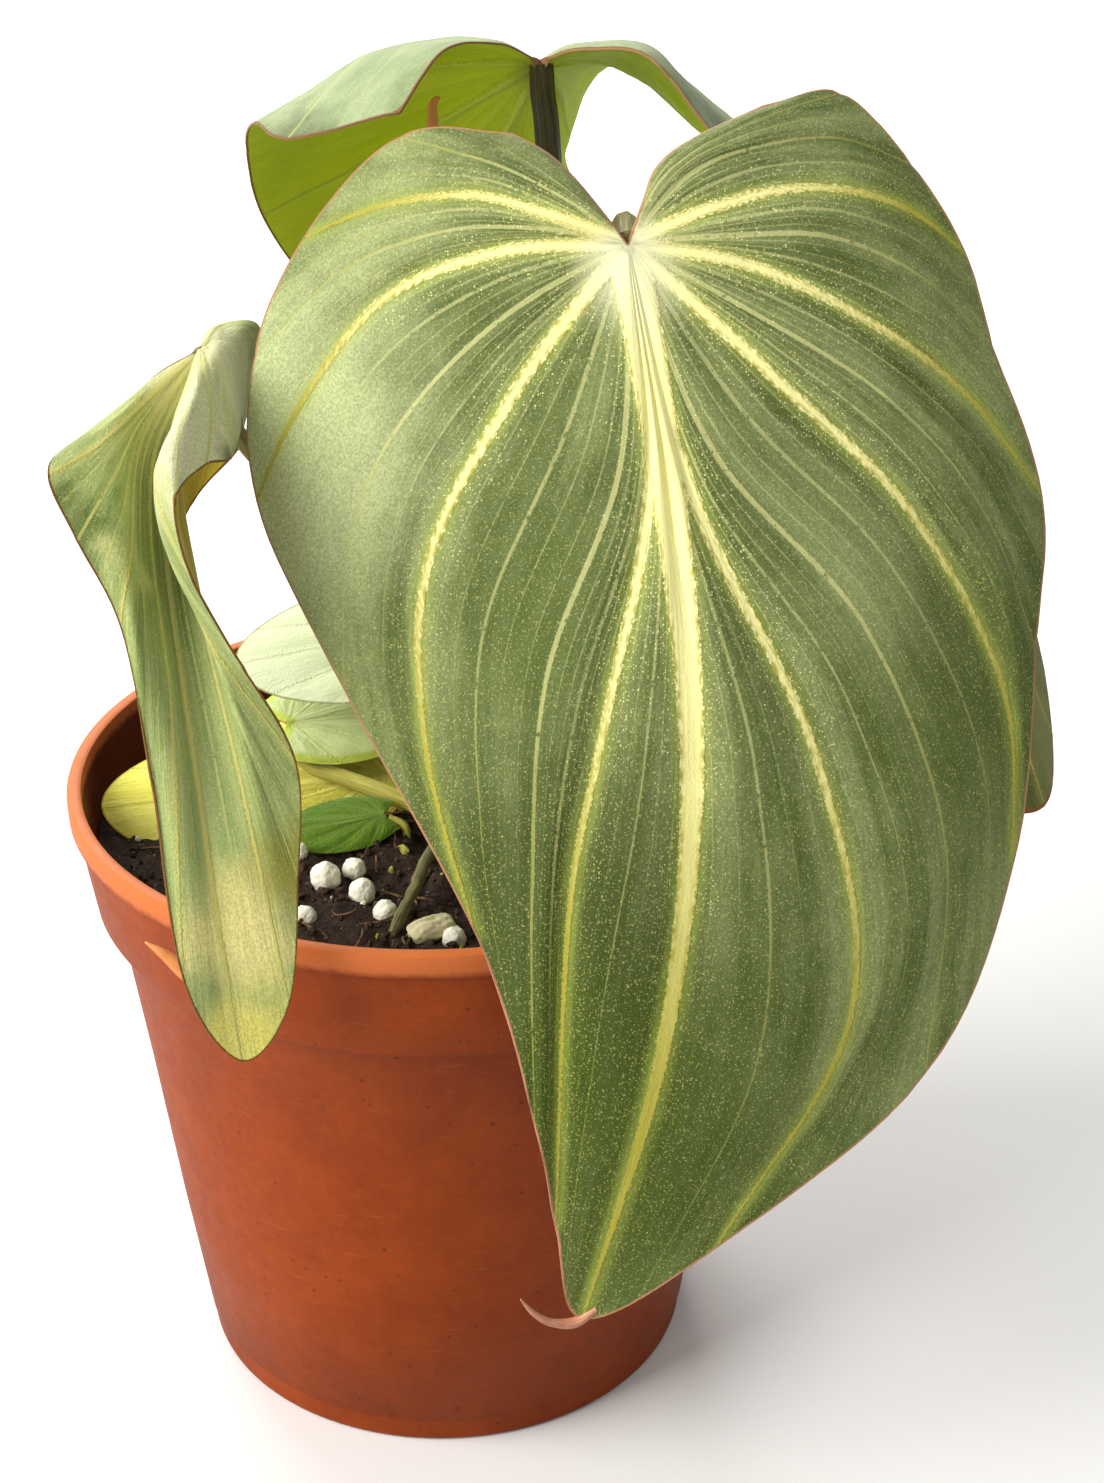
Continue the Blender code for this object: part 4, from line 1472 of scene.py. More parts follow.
@dataclass(frozen=True)
class Veins:
    """Which ribs carry main veins, and half the width of those veins along their length."""

    midrib: int
    mains: tuple[int, ...]
    midrib_widths: tuple[float, ...] = (2.0, 1.8, 1.3, 0.9, 0.5, 0.2)
    main_widths: tuple[float, ...] = (1.1, 0.8, 0.6, 0.42, 0.28, 0.1)
    branches: tuple[int, ...] = ()
    branch_from: float = 0.0


@dataclass
class Blade:
    """One leaf blade: a thin sheet along its ribs, with raised veins, quilting and a rim."""

    name: str
    node: str
    slot: str
    stalk: Point
    ribs: tuple
    veins: Veins
    upper: BladeFinish
    lower: BladeFinish
    rim: BladeFinish
    fine: int = 8
    rows: int = 60
    swell: float = 0.8
    ridges: float = 0.8
    quilt: float = 0.16
    wave: float = 0.3
    thick: float = 0.55
    seed: float = 1.0
    edge_half: float = 0.16
    edge_taper: float = 2.5

    def build(self) -> bpy.types.Object:
        """Lay out both faces and the rim, note what the finishes read, and dress the blade.

        Returns:
            The blade.
        """
        fan = np.array([[self.stalk, *rib] for rib in self.ribs], float)
        count = len(self.ribs)
        columns = (count - 1) * self.fine + 1
        across = np.linspace(0, count - 1, columns)
        down = np.linspace(0, fan.shape[1] - 1, self.rows + 1)
        grid = spline(spline(fan, across).swapaxes(0, 1), down)
        reach = down / down[-1]
        spread = np.linalg.norm(np.gradient(grid, across, axis=1), axis=2)
        points = self.fold(grid)
        gap = self.vein_gap(grid, points, reach)
        outline = np.concatenate([grid[:, 0], grid[-1], grid[::-1, -1]])
        edge = gap_to_line(points, outline, np.zeros(len(outline)))
        flat_across = self.fold_values(np.tile(across, (self.rows + 1, 1)))
        flat_reach = self.fold_values(np.tile(reach[:, None], (1, columns)))
        flat_spread = self.fold_values(spread)
        triangles = self.sheet_faces(columns)
        normals = self.normals(points, triangles)
        lift = self.relief(points, flat_across, flat_reach, flat_spread, gap)
        half = self.edge_half + (self.thick / 2 - self.edge_half) * soften(edge, 0, self.edge_taper)
        ridge = self.ridges * (1 - 0.85 * flat_reach) * soften(gap, 0.5, -0.9)
        top = points + normals * (lift + half + 0.22 * soften(gap, 0.3, -0.7))[:, None]
        under = points + normals * (lift - half - ridge)[:, None]
        total = len(points)
        faces = list(triangles) + [tuple(v + total for v in reversed(face)) for face in triangles]
        slots = [0] * len(triangles) + [1] * len(triangles)
        ring = self.sheet_edge(columns)
        for here, there in zip(ring, ring[1:] + ring[:1]):
            faces.append((here, here + total, there + total, there))
            slots.append(2)
        skins = [self.upper.make(), self.lower.make(), self.rim.make()]
        piece = add_mesh(self.name, np.concatenate([top, under]), faces, skins, slots, 70)
        rib_notes = np.stack([flat_across, flat_reach, flat_spread], 1)
        line_notes = np.stack([gap, edge, np.zeros(total)], 1)
        note_vectors(piece, "rib", np.concatenate([rib_notes, rib_notes]))
        note_vectors(piece, "line", np.concatenate([line_notes, line_notes]))
        return dress(piece, self.slot, self.node)

    def fold(self, grid: np.ndarray) -> np.ndarray:
        """Make a list of points of a grid whose first row is one point."""
        return np.concatenate([grid[0, :1], grid[1:].reshape(-1, grid.shape[-1])])

    def fold_values(self, values: np.ndarray) -> np.ndarray:
        """Make a list of the grid's values, with one for its first row."""
        return np.concatenate([values[0, :1], values[1:].ravel()])

    def sheet_faces(self, columns: int) -> list:
        """Faces of the upper side: triangles round the stalk end, then squares.

        Args:
            columns: Points in each row.

        Returns:
            Indices of the points of each face.
        """
        found = [(0, 1 + j, 2 + j) for j in range(columns - 1)]
        for row in range(self.rows - 1):
            near = 1 + row * columns
            far = near + columns
            for j in range(columns - 1):
                found.append((near + j, far + j, far + j + 1, near + j + 1))
        return found

    def sheet_edge(self, columns: int) -> list[int]:
        """Indices round the edge of the sheet, in order.

        Args:
            columns: Points in each row.

        Returns:
            The indices.
        """
        last = 1 + (self.rows - 1) * columns
        left = [0] + [1 + row * columns for row in range(self.rows - 1)]
        outer = [last + j for j in range(columns)]
        right = [columns + row * columns for row in range(self.rows - 2, -1, -1)]
        return left + outer + right

    def normals(self, points: np.ndarray, faces: list) -> np.ndarray:
        """Mean normal of the faces round each point.

        Args:
            points: The sheet's points.
            faces: Its faces.

        Returns:
            One normal for each point.
        """
        corners = np.array([face[:3] for face in faces])
        ends = np.array([face[-1] for face in faces])
        a, b, c = (points[corners[:, k]] for k in range(3))
        turned = np.cross(b - a, c - a) + np.cross(c - a, points[ends] - a)
        summed = np.zeros_like(points)
        for k in range(3):
            np.add.at(summed, corners[:, k], turned)
        np.add.at(summed, ends, turned)
        return summed / np.maximum(np.linalg.norm(summed, axis=1), 1e-9)[:, None]

    def vein_gap(self, grid: np.ndarray, points: np.ndarray, reach: np.ndarray) -> np.ndarray:
        """Gap from each point to the nearest main vein, below zero inside one.

        Args:
            grid: The sheet's points by row and column.
            points: The same points in a list.
            reach: Share of the way to the margin for each row.

        Returns:
            The gap for each point.
        """
        marks = np.linspace(0, 1, 6)
        best = np.full(len(points), 99.0)
        for rib in (self.veins.midrib, *self.veins.mains):
            widths = self.veins.midrib_widths if rib == self.veins.midrib else self.veins.main_widths
            line = grid[:, rib * self.fine]
            wide = np.interp(reach, marks, widths)
            if rib in self.veins.branches:
                kept = reach >= self.veins.branch_from
                line, wide = line[kept], wide[kept]
            best = np.minimum(best, gap_to_line(points, line, wide))
        return best

    def relief(self, points: np.ndarray, across: np.ndarray, reach: np.ndarray, spread: np.ndarray,
               gap: np.ndarray) -> np.ndarray:
        """Height of the sheet above its rib surface: swell, quilting and small waves.

        Args:
            points: The sheet's points.
            across: The rib coordinate of each.
            reach: Share of the way to the margin.
            spread: Millimetres from one rib to the next.
            gap: Gap to the nearest main vein.

        Returns:
            The height for each point.
        """
        main = sorted((0, len(self.ribs) - 1, self.veins.midrib, *self.veins.mains))
        crown = np.zeros(len(points))
        for first, second in zip(main, main[1:]):
            inside = (across >= first) & (across <= second)
            crown[inside] = np.sin(math.pi * (across[inside] - first) / (second - first))
        lift = crown * np.sin(math.pi * reach * 0.9) * self.swell
        off = np.abs((across + 0.5) % 1 - 0.5) * spread
        lift -= self.quilt * np.exp(-(off / 0.7) ** 2) * soften(gap, 0, 1.5) * soften(reach, 0.05, 0.3)
        off = np.abs((across * 2 + 0.5) % 1 - 0.5) / 2 * spread
        lift -= 0.5 * self.quilt * np.exp(-(off / 0.5) ** 2) * soften(gap, 0, 1.5) * soften(reach, 0.1, 0.4)
        lift += self.wave * ripple(points, 9.0, self.seed) * soften(reach, 0.05, 0.3)
        lift += 0.3 * self.wave * ripple(points, 3.2, self.seed + 5) * soften(reach, 0.05, 0.3)
        return lift


@dataclass
class FrontLeaf:
    """The large leaf in front: velvety dark green with cream veins."""

    stalk: Point = (29.5, -28.0, 203.0)
    tilt: float = math.radians(25)
    ribs: tuple = (
        ((-3, -4), (-7, -9), (-11, -13), (-16, -16)),
        ((-7, -5), (-16, -10), (-24, -13), (-32, -16)),
        ((-11, -4), (-22, -7), (-35, -6), (-46, -2)),
        ((-12, -2), (-25, -2), (-40, 3), (-53, 14)),
        ((-18, 1), (-34, 7), (-46, 21), (-53, 35)),
        ((-17, 10), (-31, 24), (-39, 41), (-40, 62)),
        ((-16, 21), (-28, 45), (-28, 71), (-21, 97)),
        ((-1, 31), (-11, 60), (-13, 90), (-13, 124)),
        ((3, 34), (-3, 66), (-8, 93), (-10, 139)),
        ((6, 37), (9, 75), (5, 113), (-6, 153)),
        ((9.5, 36), (26, 70), (32, 107), (13, 142)),
        ((12, 29), (33, 53), (45, 84), (43, 117)),
        ((20, 18), (40, 37), (54, 62), (56, 87)),
        ((18, 10), (36, 21), (50, 36), (59, 56)),
        ((17, 3), (33, 10), (48, 20), (60, 34)),
        ((14, -1), (28, -1), (41, 4), (52, 13)),
        ((12, -5), (25, -8), (38, -6), (48, 0)),
        ((8, -9), (17, -13), (29, -15), (40, -12)),
        ((4, -8), (10, -13), (20, -18), (30, -22)),
        ((2, -6), (4, -11), (9, -15), (19, -20)),
    )
    veins: Veins = Veins(
        9, (2, 4, 6, 8, 10, 12, 14, 16), midrib_widths=(2.9, 2.5, 1.9, 1.35, 0.85, 0.15),
        main_widths=(1.2, 0.95, 0.75, 0.55, 0.35, 0.1), branches=(8, 10), branch_from=0.2)
    upper: BladeFinish = BladeFinish(
        "front leaf velvet", dark=screen(72, 88, 32), light=screen(152, 162, 106),
        vein=screen(255, 250, 172), halo=screen(168, 182, 78), margin=screen(176, 128, 94),
        hub=screen(255, 254, 214), halo_width=1.9, speckle=0.4, speckle_size=0.34, lines=0.55,
        contrast=0.3, margin_width=0.4, sheen_tint=(0.88, 0.95, 0.68),
        # Painted light and shade: the pale zones on the left lobe, at the top left and at the upper right
        # are painted sheen from the light at the upper left; the dark zones in the middle, low down and at
        # the right are painted shade.
        zones=(Zone((-24.0, -36.0, 178.0), 36.0, screen(206, 216, 160), 0.75),
               Zone((-8.0, -28.0, 208.0), 20.0, screen(190, 200, 138), 0.45),
               Zone((22.0, -58.0, 158.0), 24.0, screen(96, 110, 54), 0.6),
               Zone((62.0, -60.0, 166.0), 24.0, screen(176, 186, 126), 0.45),
               Zone((14.0, -68.0, 110.0), 44.0, screen(52, 66, 6), 0.8),
               Zone((28.0, -75.0, 84.0), 38.0, screen(62, 80, 6), 0.75),
               Zone((88.0, -58.0, 146.0), 34.0, screen(72, 88, 22), 0.65)), vein_end=screen(176, 168, 66))
    lower: BladeFinish = BladeFinish(
        "front leaf underside", dark=screen(120, 140, 70), light=screen(158, 176, 104),
        vein=screen(206, 206, 140), halo=screen(180, 190, 110), margin=screen(176, 128, 104),
        hub=screen(206, 180, 150), halo_share=0.4, halo_width=2.0, speckle=0.1, lines=0.4,
        margin_width=0.5, roughness=0.55, sheen=0.15)
    rim: BladeFinish = BladeFinish(
        "front leaf rim", dark=screen(168, 112, 92), light=screen(206, 158, 128),
        vein=screen(206, 170, 130), halo=screen(196, 150, 120), margin=screen(190, 136, 112),
        hub=screen(206, 160, 140), halo_share=0.2, halo_width=1.0, speckle=0.1, lines=0.2,
        margin_width=0.5, roughness=0.55, sheen=0.1)

    def place(self, across: float, down: float) -> np.ndarray:
        """Place a point of the leaf's plane, with the leaf's own sag.

        Args:
            across: Millimetres to the right of the stalk's end.
            down: Millimetres below it along the blade.

        Returns:
            The point in the part's frame.
        """
        right = np.array((1.0, 0, 0))
        fall = np.array((0, -math.sin(self.tilt), -math.cos(self.tilt)))
        out = np.array((0, -math.cos(self.tilt), math.sin(self.tilt)))
        sag = -0.0042 * (across - 4) ** 2 - 0.010 * min(down, 0) ** 2 - 0.0022 * max(down - 85, 0) ** 2
        return np.array(self.stalk) + across * right + down * fall + sag * out

    def build(self) -> None:
        """Build the blade and its drip tip."""
        ribs = tuple(tuple(tuple(self.place(*station)) for station in rib) for rib in self.ribs)
        Blade(
            "front_leaf", "leaf_front", "leaf_velvet", self.stalk, ribs, self.veins, self.upper,
            self.lower, self.rim, fine=9, rows=84, swell=1.4, ridges=1.0, quilt=0.22, wave=0.35,
            thick=0.6).build()
        tip = StalkFinish(
            "drip tip skin", dark=screen(190, 116, 84), light=screen(232, 176, 140),
            blotch=screen(170, 90, 70), roughness=0.5, relief=0.05).make()
        x, y, z = self.place(-6, 153)
        path = ((x + 2, y + 0.2, z + 1.6), (x - 1.2, y - 0.2, z - 0.6), (x - 4.6, y - 1.2, z + 0.2),
                (x - 7.2, y - 2.0, z + 2.6), (x - 9.0, y - 2.4, z + 5.4))
        Tube(path, (0.5, 0.8, 0.6, 0.42, 0.12), 16, 10).build("front_drip_tip", tip, "leaf_velvet")


@dataclass
class RearLeaf:
    """The high leaf behind, seen from beneath: yellow-green with paler veins, its underside painted bright
    as light shining through it from behind.
    """

    stalk: Point = (17.2, 18.0, 217.2)
    ribs: tuple = (
        ((23, 14, 220), (33, 6, 221), (42, -2, 212)),
        ((23, 18, 219), (34, 15, 219), (44, 8, 208)),
        ((23, 24, 218), (33, 28, 216), (48, 30, 205)),
        ((23, 30, 215), (32, 42, 212), (44, 52, 197)),
        ((23, 38, 213), (29, 56, 208), (36, 70, 201)),
        ((22, 44, 210), (25, 68, 204), (28, 86, 200)),
        ((20, 50, 205), (21, 78, 194), (22, 98, 184)),
        ((19, 50, 203), (20, 80, 189), (23, 104, 174)),
        ((19, 52, 196), (22, 80, 175), (32, 100, 147)),
        ((18, 52, 192), (20, 78, 164), (21, 100, 131)),
        ((9, 50, 194), (-1, 72, 168), (-9, 84, 143)),
        ((5, 48, 197), (-11, 62, 178), (-23, 64, 167)),
        ((3, 44, 203), (-15, 50, 192), (-29, 44, 186)),
        ((3, 38, 209), (-15, 38, 204), (-29, 28, 201)),
        ((5, 32, 214), (-12, 28, 213), (-26, 14, 209)),
        ((6, 26, 218), (-9, 18, 217), (-20, 4, 209)),
        ((11, 14, 221), (3, 4, 222), (-3, -4, 215)),
    )
    veins: Veins = Veins(
        9, (2, 4, 6, 8, 10, 12, 14), midrib_widths=(1.5, 1.2, 0.9, 0.7, 0.4, 0.15),
        main_widths=(0.9, 0.7, 0.5, 0.38, 0.25, 0.1))
    upper: BladeFinish = BladeFinish(
        "rear leaf velvet", dark=screen(120, 136, 92), light=screen(176, 190, 142),
        vein=screen(206, 212, 160), halo=screen(176, 190, 120), margin=screen(120, 84, 50),
        hub=screen(206, 200, 150), halo_share=0.3, halo_width=2.0, speckle=0.15, contrast=0.3, sheen=0.3,
        sheen_tint=(0.88, 0.95, 0.75), vein_share=0.5,
        zones=(Zone((-22.0, 2.0, 209.0), 12.0, screen(54, 68, 30), 0.8),
               Zone((44.0, 6.0, 210.0), 20.0, screen(66, 80, 34), 0.8)))
    # The underside's bright yellow-green is partly the leaf's own colour and partly painted light shining
    # through the leaf from behind.
    lower: BladeFinish = BladeFinish(
        "rear leaf underside", dark=screen(176, 200, 2), light=screen(208, 226, 24),
        vein=screen(212, 222, 90), halo=screen(196, 212, 50), margin=screen(130, 90, 30),
        hub=screen(150, 150, 40), halo_share=0.45, halo_width=2.0, speckle=0.03, lines=0.3, contrast=0.4,
        margin_width=0.5, roughness=0.55, sheen=0.05, sheen_tint=(0.9, 0.95, 0.5), vein_share=0.7,
        vein_end=screen(170, 188, 50), gloss=0.08)
    rim: BladeFinish = BladeFinish(
        "rear leaf rim", dark=screen(132, 96, 60), light=screen(176, 136, 92), vein=screen(176, 150, 100),
        halo=screen(170, 130, 90), margin=screen(150, 110, 76), hub=screen(180, 150, 100), halo_share=0.2,
        halo_width=1.0, speckle=0.1, lines=0.2, margin_width=0.5, roughness=0.55, sheen=0.1)

    def build(self) -> None:
        """Build the blade."""
        Blade(
            "rear_leaf", "leaf_rear", "leaf_underside", self.stalk, self.ribs, self.veins, self.upper,
            self.lower, self.rim, fine=9, rows=66, ridges=0.9, quilt=0.14, thick=0.6, seed=2.0).build()


@dataclass
class LeftLeaf:
    """The drooping leaf at the left, yellowing, with its right lobe folded behind it."""

    stalk: Point = (-31.5, -22.0, 185.5)
    ribs: tuple = (
        ((-37, -24, 183), (-43, -28, 179), (-50, -34, 175)),
        ((-39, -27, 180), (-45, -36, 176), (-51, -42, 174)),
        ((-40, -28, 177), (-43, -40, 172), (-47, -46, 166)),
        ((-40, -29, 174), (-40, -46, 163), (-41, -51, 155)),
        ((-40, -30, 171), (-38, -51, 153), (-37, -60, 137)),
        ((-39, -30, 168), (-34, -57, 141), (-33.2, -68, 108)),
        ((-37, -30, 164), (-31, -57, 133), (-25.6, -69, 95)),
        ((-34, -33, 168), (-25, -56, 135), (-18.6, -66, 102.5)),
        ((-35, -35, 171), (-26, -53, 146), (-17, -60, 120)),
        ((-34, -37, 175), (-30, -50, 156), (-17, -55, 136)),
        ((-33, -38, 178), (-34, -48, 166), (-24, -53, 150)),
        ((-33, -38, 180.5), (-35, -48, 175), (-30, -54, 163.5)),
        ((-31, -35, 184), (-32, -45, 181), (-32, -52, 174.5)),
        ((-30, -30, 184.5), (-29, -35, 180.5), (-29, -43, 176)),
        ((-29, -25, 185), (-28, -30, 181), (-26, -36, 174.5)),
        ((-29, -17, 185), (-27, -15, 182), (-27, -16, 173)),
        ((-30, -10, 185), (-25, -2, 181), (-30, 2, 161)),
        ((-32, -6, 182), (-32, 4, 168), (-38, 8, 150)),
        ((-33, -12, 182), (-41, 2, 161), (-44, 6, 139)),
    )
    veins: Veins = Veins(
        6, (1, 3, 5, 7, 9, 11, 13, 16), midrib_widths=(1.2, 1.0, 0.8, 0.6, 0.4, 0.15),
        main_widths=(0.6, 0.5, 0.4, 0.3, 0.2, 0.08))
    upper: BladeFinish = BladeFinish(
        "left leaf face", dark=screen(116, 136, 70), light=screen(190, 200, 132),
        vein=screen(236, 230, 164), halo=screen(200, 202, 122), margin=screen(116, 78, 26),
        hub=screen(226, 224, 158), halo_share=0.3, halo_width=1.8, speckle=0.15, lines=0.75, contrast=0.3,
        margin_width=0.35, roughness=0.6, sheen=0.22, sheen_tint=(0.92, 0.92, 0.74), vein_share=0.6,
        # The two large pale zones by the stalk are painted sheen on the folded flap; the yellow and
        # olive-brown zones low on the blade are its own yellowing, and the others lighten and darken it in
        # places.
        zones=(Zone((-34.0, -60.0, 122.0), 20.0, screen(168, 190, 116), 0.5),
               Zone((-26.0, -64.0, 114.0), 13.0, screen(255, 238, 156), 0.8),
               Zone((-24.0, -69.0, 98.0), 12.0, screen(240, 224, 112), 0.8),
               Zone((-15.0, -61.0, 122.0), 11.0, screen(150, 142, 48), 0.8),
               Zone((-50.0, -42.0, 166.0), 9.0, screen(70, 88, 34), 0.8),
               Zone((-43.0, -44.0, 160.0), 6.0, screen(224, 224, 150), 0.7),
               Zone((-29.0, -42.0, 178.0), 15.0, screen(236, 232, 194), 0.85),
               Zone((-28.0, -22.0, 184.0), 16.0, screen(230, 228, 188), 0.85),
               Zone((-23.0, -36.0, 171.0), 8.0, screen(48, 60, 26), 0.9)), vein_end=screen(206, 194, 100))
    lower: BladeFinish = BladeFinish(
        "left leaf underside", dark=screen(172, 152, 40), light=screen(206, 184, 70),
        vein=screen(222, 206, 110), halo=screen(206, 190, 80), margin=screen(116, 78, 26),
        hub=screen(190, 176, 90), halo_share=0.4, halo_width=1.8, speckle=0.1, lines=0.4, contrast=0.3,
        roughness=0.55, sheen=0.1)
    rim: BladeFinish = BladeFinish(
        "left leaf rim", dark=screen(120, 84, 40), light=screen(166, 126, 66), vein=screen(176, 150, 100),
        halo=screen(160, 120, 70), margin=screen(120, 84, 40), hub=screen(160, 130, 80), halo_share=0.2,
        halo_width=1.0, speckle=0.1, lines=0.2, margin_width=0.5, roughness=0.55, sheen=0.1)

    def build(self) -> None:
        """Build the blade and the orange tail beside it."""
        Blade(
            "left_leaf", "leaf_left", "leaf_olive", self.stalk, self.ribs, self.veins, self.upper,
            self.lower, self.rim, fine=9, swell=0.3, ridges=0.3, quilt=0.1, wave=0.16, thick=0.5,
            seed=3.0).build()
        tail = StalkFinish(
            "orange tail skin", dark=screen(206, 112, 50), light=screen(236, 160, 90),
            blotch=screen(220, 140, 80), roughness=0.5, relief=0.05).make()
        path = ((-29.0, -60.4, 100.5), (-33.4, -60.0, 103.8), (-37.0, -59.0, 106.6), (-39.9, -58.0, 108.2))
        Tube(path, (1.0, 1.3, 0.8, 0.15), 16, 10).build("left_tail", tail, "leaf_olive")


@dataclass(frozen=True)
class SmallShape:
    """A small heart-shaped leaf between its stalk's end and its tip."""

    name: str
    node: str
    slot: str
    stalk: Point
    tip: Point
    face: Point
    half_width: float
    droop: float
    upper: BladeFinish
    lower: BladeFinish
    count: int = 9
    sweep: float = 0.84

    def ribs(self) -> tuple:
        """Lay ribs round the leaf, from its left back lobe past the tip to its right one.

        Returns:
            The ribs, each with the points along it.
        """
        start = np.array(self.stalk, float)
        axis = np.array(self.tip, float) - start
        length = np.linalg.norm(axis)
        axis /= length
        out = np.array(self.face, float) - np.dot(self.face, axis) * axis
        out /= np.linalg.norm(out)
        left = np.cross(axis, out)
        ribs = []
        middle = (self.count - 1) // 2
        for k in range(self.count):
            turn = math.pi * self.sweep * (k / middle - 1)
            side = self.half_width * math.sin(turn) * (1 - 0.12 * math.cos(turn))
            along = length * ((1 + math.cos(turn)) / 2) ** 0.9 - 0.22 * length * (1 - math.cos(turn)) / 2
            rib = []
            for reach in (0.25, 0.5, 0.75, 1.0):
                sag = self.droop * (max(along, 0) * reach / length) ** 2
                sag += 0.18 * abs(side) * reach ** 2
                bow = 1 + 0.25 * math.sin(math.pi * reach) * (1 - abs(math.cos(turn)))
                rib.append(tuple(start + axis * along * reach - left * side * reach * bow - out * sag))
            ribs.append(tuple(rib))
        return tuple(ribs)

    def build(self, number: int) -> None:
        """Build the blade.

        Args:
            number: Its place among the small leaves, which seeds its waves.
        """
        veins = Veins(
            4, (1, 2, 3, 5, 6, 7), midrib_widths=(0.8, 0.65, 0.5, 0.38, 0.25, 0.1),
            main_widths=(0.35, 0.28, 0.22, 0.16, 0.1, 0.05))
        Blade(
            self.name, self.node, self.slot, self.stalk, self.ribs(), veins, self.upper, self.lower,
            self.lower, fine=14, rows=44, swell=0.3, ridges=0.3, quilt=0.06, wave=0.12, thick=0.5,
            seed=10.0 + number).build()


@dataclass
class SmallLeaves:
    """The five small leaves round the pot."""

    def shapes(self) -> list[SmallShape]:
        """Places, sizes and finishes of the five.

        Returns:
            The five leaves.
        """
        right = BladeFinish(
            "right leaf face", dark=screen(84, 96, 44), light=screen(140, 142, 72),
            vein=screen(200, 190, 110), halo=screen(160, 150, 70), margin=screen(150, 88, 40),
            hub=screen(190, 170, 100), halo_share=0.4, halo_width=1.8, speckle=0.15, lines=0.3,
            contrast=0.3, margin_width=0.9, roughness=0.6, sheen=0.2)
        right_under = BladeFinish(
            "right leaf underside", dark=screen(120, 122, 52), light=screen(160, 156, 84),
            vein=screen(200, 190, 120), halo=screen(170, 160, 90), margin=screen(150, 92, 44),
            hub=screen(190, 170, 100), halo_share=0.4, halo_width=1.8, speckle=0.1, lines=0.3,
            contrast=0.3, margin_width=0.8, roughness=0.55, sheen=0.1)
        # The near-white of the mid and low leaves is partly their own pale green and partly painted sheen.
        mid = BladeFinish(
            "mid leaf face", dark=screen(206, 222, 172), light=screen(242, 248, 214),
            vein=screen(244, 248, 214), halo=screen(226, 236, 180), margin=screen(164, 172, 120),
            hub=screen(230, 232, 180), halo_share=0.2, halo_width=1.4, speckle=0.0, lines=0.3,
            margin_width=0.35, roughness=0.65, sheen=0.2, sheen_tint=(0.9, 0.97, 0.8), vein_share=0.35,
            vein_end=screen(226, 234, 190))
        low = BladeFinish(
            "low leaf face", dark=screen(176, 196, 122), light=screen(222, 232, 176),
            vein=screen(226, 234, 180), halo=screen(196, 212, 120), margin=screen(188, 204, 84),
            hub=screen(206, 216, 130), halo_share=0.2, halo_width=1.4, speckle=0.0, lines=0.3,
            margin_width=1.8, roughness=0.65, sheen=0.2, sheen_tint=(0.9, 0.97, 0.8), vein_share=0.35,
            vein_end=screen(206, 218, 140))
        pale_under = BladeFinish(
            "pale leaf underside", dark=screen(150, 168, 104), light=screen(190, 200, 140),
            vein=screen(210, 214, 160), halo=screen(196, 204, 140), margin=screen(190, 150, 110),
            hub=screen(200, 196, 140), halo_share=0.3, halo_width=1.6, speckle=0.05, lines=0.3,
            contrast=0.3, margin_width=0.5, roughness=0.6, sheen=0.1)
        young = BladeFinish(
            "young leaf face", dark=screen(66, 100, 16), light=screen(106, 138, 40),
            vein=screen(150, 176, 80), halo=screen(120, 150, 50), margin=screen(96, 124, 36),
            hub=screen(140, 160, 60), halo_share=0.15, halo_width=1.2, speckle=0.0, lines=0.12,
            contrast=0.3, margin_width=0.25, roughness=0.5, sheen_tint=(0.8, 0.95, 0.7), vein_share=0.25,
            vein_end=screen(110, 140, 50))
        old = BladeFinish(
            "old leaf face", dark=screen(240, 234, 90), light=screen(255, 252, 140),
            vein=screen(255, 248, 150), halo=screen(240, 236, 100), margin=screen(206, 190, 70),
            hub=screen(206, 200, 90), halo_share=0.3, halo_width=1.4, speckle=0.0, lines=0.2,
            margin_width=0.3, roughness=0.55, sheen=0.1, sheen_tint=(0.95, 0.95, 0.7), vein_share=0.4,
            zones=(Zone((-18.0, 3.0, 101.0), 20.0, screen(170, 164, 56), 0.85),),
            vein_end=screen(230, 224, 90))
        return [
            SmallShape(
                "right_leaf", "leaf_right", "leaf_olive", stalk=(77, 16, 154), tip=(105, 3, 98),
                face=(0.72, -0.55, 0.42), half_width=21.0, droop=5.0, upper=right, lower=right_under),
            SmallShape(
                "mid_leaf", "leaf_mid", "leaf_pale", stalk=(4, 14, 126), tip=(-32.5, 5, 124),
                face=(0.0, -0.6, 0.8), half_width=11.0, droop=3.0, upper=mid, lower=pale_under),
            SmallShape(
                "low_leaf", "leaf_low", "leaf_pale", stalk=(-25, 8, 110), tip=(6, 20, 114),
                face=(0.0, -0.46, 0.89), half_width=10.0, droop=2.5, upper=low, lower=pale_under),
            SmallShape(
                "young_leaf", "leaf_young", "leaf_young_green", stalk=(-8.4, -6, 100.4),
                tip=(-25.5, -10, 99.2), face=(0.0, -0.5, 0.87), half_width=5.0, droop=0.8, upper=young,
                lower=pale_under),
            SmallShape(
                "old_leaf", "leaf_old", "leaf_yellow", stalk=(-8.5, 7.5, 100.9), tip=(-55, -3, 100.5),
                face=(0.03, -0.62, 0.78), half_width=12.5, droop=1.0, upper=old, lower=pale_under),
        ]

    def build(self) -> None:
        """Build each of them."""
        for number, shape in enumerate(self.shapes()):
            shape.build(number)


# Floor, light and camera


